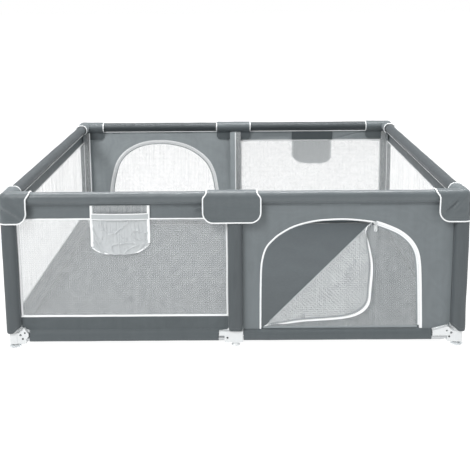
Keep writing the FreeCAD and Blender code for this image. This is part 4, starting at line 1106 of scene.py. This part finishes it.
# ---------------------------------------------------------------- post sleeves
def post_sleeve(tag, px, py, dx, dy, node, seed, mid=False):
    n, nv = 64, 60
    half, r = 0.0292, 0.0235
    ring = []
    for k in range(n):
        t = 2 * math.pi * k / n
        c, s = math.cos(t), math.sin(t)
        q = 1.0 / (abs(c) ** 3.2 + abs(s) ** 3.2) ** (1 / 3.2)
        ring.append((c * q * half, s * q * half))
    ring = np.array(ring)
    P = np.zeros((n, nv, 3))
    for k, (x, y) in enumerate(ring):
        if mid:
            z0 = 0.0690
        else:
            up = max(float(sstep(-0.006, 0.030, x * dx)), float(sstep(-0.006, 0.030, y * dy)))
            z0 = 0.0635 + 0.0225 * up
        P[k, :, 0], P[k, :, 1] = px + x, py + y
        P[k, :, 2] = z0 + (0.611 - z0) * np.linspace(0, 1, nv) ** 1.0
    zz = P[:, :, 2]
    nrm = np.stack([ring[:, 0], ring[:, 1]], 1)
    nrm /= np.linalg.norm(nrm, axis=1, keepdims=True)
    d = nz_field(P * np.array([1, 1, 0.35]), 26.0, seed) * 0.0012 + nz_field(P * np.array([1, 1, 0.2]), 70.0, seed + 1) * 0.0004
    pull = -0.0016 * np.exp(-((zz - zz.min(axis=1, keepdims=True)) / 0.006) ** 2)
    P[:, :, 0] += nrm[:, None, 0] * (d + pull)
    P[:, :, 1] += nrm[:, None, 1] * (d + pull)
    # painted shade: the post sleeve takes the darker post copy of the grey cloth
    ob = make("post_cover_" + tag, [g_thick(P, 0.0013, cu=True)], GREY_POST_PAINTED_SHADE, replaces=node)
    # seam down the inner corner and a stitched lower edge
    k = int(n * (math.atan2(dy, dx) % (2 * math.pi)) / (2 * math.pi)) if not mid else int(n * (0.25 if dy > 0 else 0.75))
    line = P[k, 2:-2].copy()
    line[:, 0] += nrm[k, 0] * 0.0007
    line[:, 1] += nrm[k, 1] * 0.0007
    low = P[:, 1].copy()
    low[:, 0] += nrm[:, 0] * 0.0007
    low[:, 1] += nrm[:, 1] * 0.0007
    low[:, 2] += 0.004
    make("post_stitching_" + tag, [g_stitches(line), g_stitches(np.vstack([low, low[:1]]))], GREY_SEW, sharp=80)


post_sleeve("front_left", -PX, -PY, 1, 1, "post_sleeves_front", 71)
post_sleeve("front_middle", 0, -PY, 0, 1, "post_sleeves_front", 72, mid=True)
post_sleeve("front_right", PX, -PY, -1, 1, "post_sleeves_front", 73)
post_sleeve("rear_left", -PX, PY, 1, -1, "post_sleeves_rear", 74)
post_sleeve("rear_middle", 0, PY, 0, -1, "post_sleeves_rear", 75, mid=True)
post_sleeve("rear_right", PX, PY, -1, -1, "post_sleeves_rear", 76)


def lining(tag, corners, mat, slot, seed, z0=0.120, z1=0.602):
    """A strip of the panel cloth that passes a post on its inner side."""
    line = resample(np.array([[x, y, 0.0] for x, y in corners]), 0.004)
    nz_ = 40
    P = np.zeros((len(line), nz_, 3))
    P[:, :, 0], P[:, :, 1] = line[:, None, 0], line[:, None, 1]
    P[:, :, 2] = np.linspace(z0, z1, nz_)[None, :]
    n = normals_of(P)
    P = P + n * (nz_field(P, 25.0, seed) * 0.0006)[:, :, None]
    if slot == "window_mesh":
        ob = make(tag, [g_sheet(P)], mat, recalc=False)
    else:
        ob = make(tag, [g_thick(P, 0.0009)], mat)


LQ = 0.0322
for _name, _sx, _sy, _wall in (("front_left", -1, -1, False), ("rear_right", 1, 1, False), ("front_right", 1, -1, True), ("rear_left", -1, 1, True)):
    cx, cy = _sx * PX, _sy * PY
    ix, iy = cx - _sx * LQ, cy - _sy * LQ
    if _wall:
        lining("post_net_" + _name, [(cx - _sx * 0.001, iy), (ix, iy)], NET_X, "window_mesh", 121)
        # painted light: the rear lining takes the lighter copy of the grey cloth
        lining("post_lining_" + _name, [(ix, iy), (ix, cy - _sy * 0.001)], GREY_PAINTED_LIT_REAR if _sy > 0 else GREY, "grey_fabric", 122, z0=0.070)
        make("post_piping_" + _name, [g_tube([(ix, iy, z) for z in np.linspace(0.122, 0.600, 40)], 0.0030, 8)], WHITE)
    else:
        lining("post_net_" + _name, [(cx - _sx * 0.001, iy), (ix, iy)], NET_X, "window_mesh", 123)
        lining("post_net_side_" + _name, [(ix, iy), (ix, cy - _sy * 0.001)], NET_Y, "window_mesh", 124)
for _name, _sx, _sy in (("rear_middle", 1, 1), ("front_middle", -1, -1)):
    iy = _sy * (PY - LQ)
    lining("post_net_" + _name, [(0.0, iy), (_sx * LQ, iy)], NET_X, "window_mesh", 125)
    # painted light: the rear lining takes the lighter copy of the grey cloth
    lining("post_lining_" + _name, [(-_sx * LQ, iy), (0.0, iy)], GREY_PAINTED_LIT_REAR if _sy > 0 else GREY, "grey_fabric", 126, z0=0.070)
    make("post_piping_" + _name, [g_tube([(0.0, iy, z) for z in np.linspace(0.122, 0.600, 40)], 0.0030, 8)], WHITE)


# ---------------------------------------------------------------- floor cloth
def floor_cloth():
    xs = sorted(set([round(v, 5) for v in np.linspace(-PX + 0.003, PX - 0.003, 150)] + [-PX + 0.052, PX - 0.052, -0.048, 0.048]))
    ys = sorted(set([round(v, 5) for v in np.linspace(-PY + 0.003, PY - 0.003, 130)] + [-PY + 0.052, PY - 0.052, -PY + 0.020, PY - 0.020]))
    nx, ny = len(xs), len(ys)
    V = np.zeros((nx, ny, 3))
    V[:, :, 0] = np.array(xs)[:, None]
    V[:, :, 1] = np.array(ys)[None, :]
    edge = np.minimum(PX - np.abs(V[:, :, 0]), PY - np.abs(V[:, :, 1]))
    h = nz_field(V, 3.2, 81) * 0.0016 + nz_field(V * np.array([1, 0.5, 1]), 11.0, 82) * 0.0008
    V[:, :, 2] = 0.0170 + h * sstep(0.0, 0.06, edge) * 0.9
    top, low = V.copy(), V.copy()
    top[:, :, 2] += 0.0007
    low[:, :, 2] -= 0.0007
    keep = set()
    for i in range(nx - 1):
        for j in range(ny - 1):
            cx, cy = (xs[i] + xs[i + 1]) / 2, (ys[j] + ys[j + 1]) / 2
            corner = abs(cx) > PX - 0.052 and abs(cy) > PY - 0.052
            middle = abs(cx) < 0.048 and abs(cy) > PY - 0.020
            if not corner and not middle:
                keep.add((i, j))
    k = nx * ny
    F = []

    def vid(i, j):
        return i * ny + j
    for (i, j) in keep:
        q = (vid(i, j), vid(i + 1, j), vid(i + 1, j + 1), vid(i, j + 1))
        F.append(q)
        F.append(tuple(x + k for x in q[::-1]))
        for (di, dj, a, b) in ((-1, 0, (i, j + 1), (i, j)), (1, 0, (i + 1, j), (i + 1, j + 1)), (0, -1, (i, j), (i + 1, j)), (0, 1, (i + 1, j + 1), (i, j + 1))):
            if (i + di, j + dj) not in keep:
                a_, b_ = vid(*a), vid(*b)
                F.append((b_, a_, a_ + k, b_ + k))
    VV = np.concatenate([top.reshape(-1, 3), low.reshape(-1, 3)])
    used = sorted({i for q in F for i in q})
    remap = {o: n for n, o in enumerate(used)}
    return VV[used], [tuple(remap[i] for i in q) for q in F]


fl = make("floor_cloth", [floor_cloth()], GREY_FLOOR, replaces="floor")


# ---------------------------------------------------------------- pockets
PK_TOP, PK_BAND, PK_HEM = 0.6010, 0.5770, 0.5450


def pocket_low(u):
    """Lower edge of the pocket, u from -1 to 1 across it."""
    return 0.3985 + 0.034 * abs(u) ** 4.0 + 0.007 * u * abs(u)


def pouch_cloth():
    """The gathered front of the pocket: cloth that is wider than its frame, let hang for a moment."""
    nu, nv = 84, 72
    P = np.zeros((nu, nv, 3))
    U = np.linspace(-1, 1, nu)
    for i, u in enumerate(U):
        x = PK0 + (PK1 - PK0) * (u + 1) / 2
        z0 = pocket_low(u) + 0.001
        z1 = PK_HEM + 0.004
        P[i, :, 0] = x
        P[i, :, 2] = z0 + (z1 - z0) * np.linspace(0, 1, nv)
    v = np.linspace(0, 1, nv)[None, :]
    env = np.clip(1 - U[:, None] ** 2, 0, 1) ** 0.6 * np.sin(np.pi * (0.05 + 0.80 * v)) ** 0.7
    P[:, :, 1] = 0.0056 + 0.0105 * env
    me = bpy.data.meshes.new("pouch_sim")
    W = place("front", P)
    me.from_pydata(W.reshape(-1, 3).tolist(), [], grid_quads(nu, nv))
    ob = bpy.data.objects.new("pouch_sim", me)
    SC.collection.objects.link(ob)
    vg = ob.vertex_groups.new(name="pin")
    pins = []
    for i in range(nu):
        for j in range(nv):
            if i in (0, nu - 1) or j == 0:
                vg.add([i * nv + j], 1.0, "REPLACE")
            elif j == nv - 1:
                vg.add([i * nv + j], 0.85, "REPLACE")
    md = ob.modifiers.new("cloth", "CLOTH")
    st = md.settings
    st.quality = 6
    st.mass = 0.12
    st.tension_stiffness = st.compression_stiffness = 6.0
    st.shear_stiffness = 1.2
    st.bending_stiffness = 0.02
    st.vertex_group_mass = "pin"
    st.shrink_min = -0.085
    st.use_pressure = True
    st.uniform_pressure_force = -0.25
    md.collision_settings.use_self_collision = False
    SC.frame_start, SC.frame_end = 1, 40
    md.point_cache.frame_start, md.point_cache.frame_end = 1, 40
    for fr in range(1, 31):
        SC.frame_set(fr)
    dg = bpy.context.evaluated_depsgraph_get()
    ev = ob.evaluated_get(dg)
    co = np.zeros(nu * nv * 3)
    ev.data.vertices.foreach_get("co", co)
    R = co.reshape(nu, nv, 3)
    SC.frame_set(1)
    bpy.data.objects.remove(ob)
    bpy.data.meshes.remove(me)
    # back to panel coordinates, keeping it inside the pocket's depth
    Q = np.zeros_like(R)
    Q[:, :, 0], Q[:, :, 1], Q[:, :, 2] = R[:, :, 0], -(R[:, :, 1] + PY), R[:, :, 2]
    d = np.clip(Q - P, -0.010, 0.010)
    Q = P + d
    # soft creases that run into one another
    base = P * np.array([1, 0, 1])
    warp = base + np.stack([nz_field(base, 14.0, 7), np.zeros((nu, nv)), nz_field(base, 14.0, 8)], 2) * 0.035
    ridge = (1 - np.abs(nz_field(warp * np.array([0.7, 1, 1.0]), 19.0, 9)) * 4.2).clip(-0.4, 1) ** 3
    ridge2 = (1 - np.abs(nz_field(warp * np.array([1, 1, 0.6]), 42.0, 10)) * 3.6).clip(-0.3, 1) ** 3
    Q[:, :, 1] += env ** 0.5 * (ridge * 0.0070 + ridge2 * 0.0030 - 0.0020)
    Q[:, :, 1] = np.clip(Q[:, :, 1], 0.0050, 0.0235)
    return Q


def pocket(tag, side, node, Q, seed):
    up = OUT[side]
    ob = make("pouch_" + tag, [g_sheet(place(side, Q))], POUCH, replaces=node, recalc=False)
    # flat net panel between the rail seam and the elastic hem, and the back of the bag
    nu, nv = 40, 30
    B = np.zeros((nu, nv, 3))
    for i, u in enumerate(np.linspace(-1, 1, nu)):
        B[i, :, 0] = PK0 + (PK1 - PK0) * (u + 1) / 2
        z0 = pocket_low(u)
        B[i, :, 2] = z0 + (PK_TOP - z0) * np.linspace(0, 1, nv)
    B[:, :, 1] = 0.0042 + nz_field(B * np.array([1, 0, 1]), 12.0, seed) * 0.0005
    bk = make("pocket_back_" + tag, [g_sheet(place(side, B))], NET_POCKET, replaces=node, recalc=False)
    # elastic hem with small gathers
    n2, m2 = 90, 9
    H = np.zeros((n2, m2, 3))
    U = np.linspace(-1, 1, n2)
    for i, u in enumerate(U):
        H[i, :, 0] = PK0 + (PK1 - PK0) * (u + 1) / 2
        bulge = 0.0062 + 0.0105 * max(0.0, 1 - u * u) ** 0.6
        H[i, :, 1] = bulge
        H[i, :, 2] = np.linspace(PK_HEM, PK_HEM + 0.0215, m2)
    H[:, :, 1] += nz_field(H * np.array([1, 0, 0.15]), 150.0, seed + 3) * 0.0012
    hm = make("pocket_hem_" + tag, [g_thick(place(side, H), 0.0016)], ELASTIC)
    rims = []
    for z, r in ((PK_HEM + 0.0225, 0.0024), (PK_HEM - 0.0004, 0.0017)):
        L = []
        for i in range(0, n2, 2):
            L.append([H[i, 0, 0], float(H[i, 4, 1]) + 0.0006, z])
        rims.append(g_tube(place(side, L), r, 8))
    make("pocket_rim_" + tag, rims, WHITE)
    # bindings: both sides from the rail seam and round the bottom
    sides_ = []
    for u, x in ((-1, PK0), (1, PK1)):
        z0 = pocket_low(u) + 0.004
        L = [[x + (0.0004 * math.sin(z * 60 + seed)), 0.0056, z] for z in np.linspace(z0, PK_TOP, 46)]
        sides_.append(g_tube(place(side, L), 0.0058, 10, flat=0.38, up=up))
    L = [[PK0 + (PK1 - PK0) * (u + 1) / 2, 0.0052, pocket_low(u)] for u in np.linspace(-1, 1, 80)]
    sides_.append(g_tube(place(side, L), 0.0032, 8, flat=0.7, up=up))
    make("pocket_binding_" + tag, sides_, WHITE)


Q = pouch_cloth()
pocket("front", "front", "pocket_front", Q, 92)
pocket("rear", "rear", "pocket_rear", Q, 93)
# cloth patch that backs the rear pocket on the inside of the band
pb = np.zeros((24, 8, 3))
pb[:, :, 0] = np.linspace(PK0 - 0.010, PK1 + 0.006, 24)[:, None]
pb[:, :, 1] = -0.0022
pb[:, :, 2] = np.linspace(WIN_TOP + 0.004, SEAM_Z - 0.003, 8)[None, :]
# painted shade: the backing patch takes the darker side copy of the grey cloth
make("pocket_backing_rear", [g_thick(place("rear", pb), 0.0009)], GREY_SIDE_PAINTED_SHADE)


# ---------------------------------------------------------------- covers
COVER_DROP, COVER_R = 0.534, 0.042
TAIL_Z = 0.5560


def cover_profile(z_low, tail_z):
    """Across a cover: outer flap from its lower edge, over the rail, and the tail inside."""
    prof = []
    for k in range(13):
        f = k / 12
        prof.append((0.0336 - 0.0006 * f, z_low + (0.6300 - z_low) * f))
    for k in range(1, 11):
        t = math.pi / 2 * k / 10
        prof.append((0.0060 + 0.0270 * math.cos(t), 0.6305 + 0.0285 * math.sin(t)))
    for k in range(1, 4):
        prof.append((0.0060 - 0.012 * k / 4, 0.6590))
    for k in range(0, 11):
        t = math.pi / 2 + math.pi / 2 * k / 10
        prof.append((-0.0060 + 0.0262 * math.cos(t), 0.6305 + 0.0285 * math.sin(t)))
    prof += [(-0.0315, 0.6240), (-0.0295, 0.6170), (-0.0250, 0.6110), (-0.0185, 0.6065), (-0.0120, 0.6035), (-0.0085, 0.5990)]
    n_in = len(prof)
    for k in range(1, 6):
        prof.append((-0.0078, 0.5990 + (tail_z - 0.5990) * k / 5))
    return prof, n_in


def low_edge(a, a_end, drop=COVER_DROP, r=COVER_R):
    """Height of the outer flap's lower edge at a, rounded towards the arm's end."""
    x = a - (a_end - r)
    if x <= 0:
        return drop
    x = min(x, r)
    return drop + r - math.sqrt(max(0.0, r * r - x * x))


def tail_edge(a, a_end, r=0.014):
    x = a - (a_end - 0.004 - r)
    if x <= 0:
        return TAIL_Z
    x = min(x, r)
    return TAIL_Z + r - math.sqrt(max(0.0, r * r - x * x))


# how far round the cover a point is: 0 on the outer flap, 1 over the rail and inside
TOP_T = [float(sstep(0.632, 0.657, z)) if k < 24 else 1.0 for k, (o, z) in enumerate(cover_profile(COVER_DROP, TAIL_Z)[0])]


def spaced_to(a_end, r, n_in, n_out):
    """Stations from the corner to an arm's end, close together where the edge turns up."""
    inner = list(np.linspace(0.0, max(0.001, a_end - r), n_in, endpoint=False))
    outer = [a_end - r + r * math.sin(math.pi / 2 * k / n_out) for k in range(n_out + 1)]
    return inner + outer


def corner_cover(tag, sx, sy, arm_x, arm_y, seed, creases=()):
    ax, ay = arm_x - 0.034, arm_y - 0.034
    stations = []                       # (kind, value)
    for a in reversed(spaced_to(ax, COVER_R, 8, 30)):
        stations.append(("x", a))
    for k in range(1, 12):
        stations.append(("c", math.pi / 2 * k / 12))
    for b in spaced_to(ay, COVER_R, 8, 30):
        stations.append(("y", b))
    ref, n_in = cover_profile(COVER_DROP, TAIL_Z)
    nu, nv = len(stations), len(ref)
    A = np.zeros((nu, nv, 3))
    for i, (kind, v) in enumerate(stations):
        end = ax if kind == "x" else ay
        zl = low_edge(v, end) if kind in "xy" else COVER_DROP
        tz = tail_edge(v, end) if kind in "xy" else TAIL_Z
        prof, _ = cover_profile(zl, tz)
        for j, (o, z) in enumerate(prof):
            m = max(0.0, -o)
            if kind in "xy":
                v = stations[i][1] * (1 + TOP_T[j] * 0.013 / end)
            if kind == "x":
                a, b = max(v, m), -o
                if o < 0 and v < m:
                    a = m
            elif kind == "y":
                a, b = -o, max(v, m)
            else:
                if o >= 0:
                    a, b = -o * math.sin(v), -o * math.cos(v)
                else:
                    a, b = m, m
            A[i, j] = (a, b, z)
    # soft irregularity, a flare of the lower edge and the pulled creases
    W = np.zeros_like(A)
    W[:, :, 0] = sx * (PX - A[:, :, 0])
    W[:, :, 1] = sy * (PY - A[:, :, 1])
    W[:, :, 2] = A[:, :, 2]
    n = normals_of(W)
    cen = np.array([sx * (PX - 0.02), sy * (PY - 0.02), 0.0])
    outv = W - cen
    outv[:, :, 2] = 0
    sign = np.sign((n * outv).sum(axis=2))[:, :, None]
    n = n * np.where(sign == 0, 1, sign)
    jj = np.arange(nv)[None, :]
    outer = (jj < 23)
    d = nz_field(W, 16.0, seed) * 0.0026 + nz_field(W, 48.0, seed + 1) * 0.0009
    d = d * np.where(outer, 1.0, 0.45)
    flare = np.clip((0.560 - A[:, :, 2]) / 0.026, 0, 1) * 0.0018 * outer
    for (p, q, depth, width) in creases:
        p, q = np.array(p), np.array(q)
        L = np.linalg.norm(q - p)
        u = (q - p) / L
        rel = W - p
        along = rel @ u
        perp = np.linalg.norm(rel - along[:, :, None] * u, axis=2)
        d += depth * np.exp(-(perp / width) ** 2) * sstep(-0.25, 0.15, along / L) * (1 - sstep(0.85, 1.25, along / L)) * outer
    W = W + n * np.where(outer, d + flare, 0)[:, :, None]
    W[:, :, 2] = np.minimum(W[:, :, 2], CAD_HI.z + 0.0025)
    # painted shade: the cover takes the darker cover copy of the grey cloth
    ob = make("cover_" + tag, [g_thick(W, 0.0017)], GREY_COVER_PAINTED_SHADE, body="corner_cover_" + tag, replaces="corner_cover_" + tag, weld=2e-5)
    # piping: lower edge of the outer flap and both arm ends up to the sleeve's lap
    n_end = 40
    edge = [W[0, j] for j in range(n_end, 0, -1)] + [W[i, 0] for i in range(nu)] + [W[-1, j] for j in range(1, n_end + 1)]
    edge = resample(np.array(edge), 0.005)
    make("cover_piping_" + tag, [g_tube(edge, 0.0030, 8)], WHITE, body="corner_cover_" + tag)
    st = [W[i, 1] + n[i, 1] * 0.0011 + np.array([0, 0, 0.0045]) for i in range(2, nu - 2)]
    make("cover_stitching_" + tag, [g_stitches(np.array(st))], GREY_SEW, body="corner_cover_" + tag, sharp=80)


def P3(x, y, z):
    return (x, y, z)


F_OUT = -PY - 0.034
corner_cover("front_left", -1, -1, 0.114, 0.108, 101,
             creases=[(P3(-0.924, F_OUT, 0.612), P3(-0.852, F_OUT, 0.560), 0.0072, 0.0085), (P3(-0.935, F_OUT, 0.592), P3(-0.872, F_OUT, 0.552), -0.0044, 0.0085),
                      (P3(-0.915, -PY - 0.02, 0.650), P3(-0.858, F_OUT, 0.616), 0.0050, 0.007), (P3(-0.940, F_OUT, 0.560), P3(-0.905, F_OUT, 0.545), 0.0030, 0.006)])
corner_cover("front_right", 1, -1, 0.131, 0.114, 103,
             creases=[(P3(0.832, F_OUT, 0.584), P3(0.882, F_OUT, 0.630), 0.0078, 0.0080), (P3(0.866, F_OUT, 0.574), P3(0.912, F_OUT, 0.626), 0.0068, 0.0078),
                      (P3(0.849, F_OUT, 0.578), P3(0.897, F_OUT, 0.624), -0.0040, 0.0078), (P3(0.850, F_OUT, 0.556), P3(0.925, F_OUT, 0.575), 0.0038, 0.006)])
corner_cover("rear_left", -1, 1, 0.138, 0.124, 105)
corner_cover("rear_right", 1, 1, 0.148, 0.124, 107)


def middle_cover(tag, side, xc, seed):
    half = 0.116
    s_ = [-x for x in reversed(spaced_to(half, COVER_R, 8, 12))] + spaced_to(half, COVER_R, 8, 12)[1:]
    ref, n_in = cover_profile(COVER_DROP, TAIL_Z)
    nu, nv = len(s_), len(ref)
    A = np.zeros((nu, nv, 3))
    for i, s in enumerate(s_):
        prof, _ = cover_profile(low_edge(abs(s), half), tail_edge(abs(s), half))
        for j, (o, z) in enumerate(prof):
            A[i, j] = (xc + s * (1 - TOP_T[j] * 0.015 / half), o, z)
    W = place(side, A)
    n = normals_of(W)
    mid = place(side, [[xc, 0, 0.60]])[0]
    outv = W - mid
    outv[:, :, 0] = 0
    sign = np.sign((n * outv).sum(axis=2))[:, :, None]
    n = n * np.where(sign == 0, 1, sign)
    outer = (np.arange(nv)[None, :] < 23)
    d = nz_field(W, 12.0, seed) * 0.0022 + nz_field(W * np.array([1, 1, 2.0]), 36.0, seed + 1) * 0.0009
    dip = -0.0016 * np.exp(-((A[:, :, 2] - 0.604) / 0.012) ** 2)
    flare = np.clip((0.560 - A[:, :, 2]) / 0.026, 0, 1) * 0.0016 * outer
    W = W + n * np.where(outer, d + flare + dip, 0)[:, :, None]
    W[:, :, 2] = np.minimum(W[:, :, 2], CAD_HI.z + 0.0025)
    # painted shade: the cover takes the darker cover copy of the grey cloth
    ob = make("cover_" + tag, [g_thick(W, 0.0017)], GREY_COVER_PAINTED_SHADE, body=tag, replaces=tag)
    n_end = 40
    edge = [W[0, j] for j in range(n_end, 0, -1)] + [W[i, 0] for i in range(nu)] + [W[-1, j] for j in range(1, n_end + 1)]
    make("cover_piping_" + tag, [g_tube(resample(np.array(edge), 0.005), 0.0030, 8)], WHITE, body=tag)
    st = [W[i, 1] + n[i, 1] * 0.0011 + np.array([0, 0, 0.0045]) for i in range(2, nu - 2)]
    make("cover_stitching_" + tag, [g_stitches(np.array(st))], GREY_SEW, body=tag, sharp=80)


middle_cover("middle_cover_front", "front", -0.012, 111)
middle_cover("middle_cover_rear", "rear", 0.012, 113)


# ---------------------------------------------------------------- stage, light, camera
def stage_floor():
    me = bpy.data.meshes.new("studio_floor")
    s = 40.0
    me.from_pydata([(-s, -s, 0), (s, -s, 0), (s, s, 0), (-s, s, 0)], [], [(0, 1, 2, 3)])
    ob = bpy.data.objects.new("studio_floor", me)
    SC.collection.objects.link(ob)
    b = Nodes("studio_white")
    b.set(Base_Color=(0.16, 0.16, 0.16, 1.0), Roughness=0.95, Emission_Color=(1.0, 1.0, 1.0, 1.0), Emission_Strength=0.965)
    b.p.inputs["Specular IOR Level"].default_value = 0.0
    me.materials.append(b.m)
    return ob


stage_floor()
world = bpy.data.worlds.new("studio")
SC.world = world
world.use_nodes = True
wt = world.node_tree
bg = wt.nodes["Background"]
bg.inputs[0].default_value = (1, 1, 1, 1)
bg.inputs[1].default_value = 0.46
bg2 = wt.nodes.new("ShaderNodeBackground")
bg2.inputs[0].default_value = (1, 1, 1, 1)
bg2.inputs[1].default_value = 1.0
lp = wt.nodes.new("ShaderNodeLightPath")
mx = wt.nodes.new("ShaderNodeMixShader")
wt.links.new(lp.outputs["Is Camera Ray"], mx.inputs[0])
wt.links.new(bg.outputs[0], mx.inputs[1])
wt.links.new(bg2.outputs[0], mx.inputs[2])
wt.links.new(mx.outputs[0], wt.nodes["World Output"].inputs[0])


def area(name, loc, target, size, power, size_y=None):
    ld = bpy.data.lights.new(name, "AREA")
    ld.shape = "RECTANGLE"
    ld.size, ld.size_y = size, size_y or size
    ld.energy = power
    ob = bpy.data.objects.new(name, ld)
    SC.collection.objects.link(ob)
    ob.location = loc
    ob.rotation_mode = "QUATERNION"
    ob.rotation_quaternion = (Vector(target) - Vector(loc)).to_track_quat("-Z", "Y")
    return ob


area("key", (-4.6, -6.6, 7.4), (0, -0.1, 0.3), 3.6, 640.0)
area("top", (0.3, 0.2, 7.0), (0, 0, 0.2), 4.4, 150.0)
area("strip", (0.0, 0.5, 3.2), (0, -0.8, 0.6), 3.8, 130.0, size_y=0.5)
area("fill", (3.6, -3.2, 2.2), (0.2, -0.4, 0.3), 2.6, 22.0)

cam_data = bpy.data.cameras.new("camera")
cam = bpy.data.objects.new("camera", cam_data)
SC.collection.objects.link(cam)
cam_data.sensor_width = 36.0
cam_data.lens = 58.02
cam_data.shift_x = 0.0
cam_data.shift_y = -0.25
cam.location = (0.0136, -3.7388, 1.4577)
PITCH, YAW, ROLL = 9.662, 0.192, -0.435
rot = Matrix.Rotation(math.radians(YAW), 4, "Z") @ Matrix.Rotation(math.radians(90 - PITCH), 4, "X") @ Matrix.Rotation(math.radians(ROLL), 4, "Z")
cam.rotation_euler = rot.to_euler()
cam_data.clip_start, cam_data.clip_end = 0.05, 100.0
SC.camera = cam

bpy.context.view_layer.update()
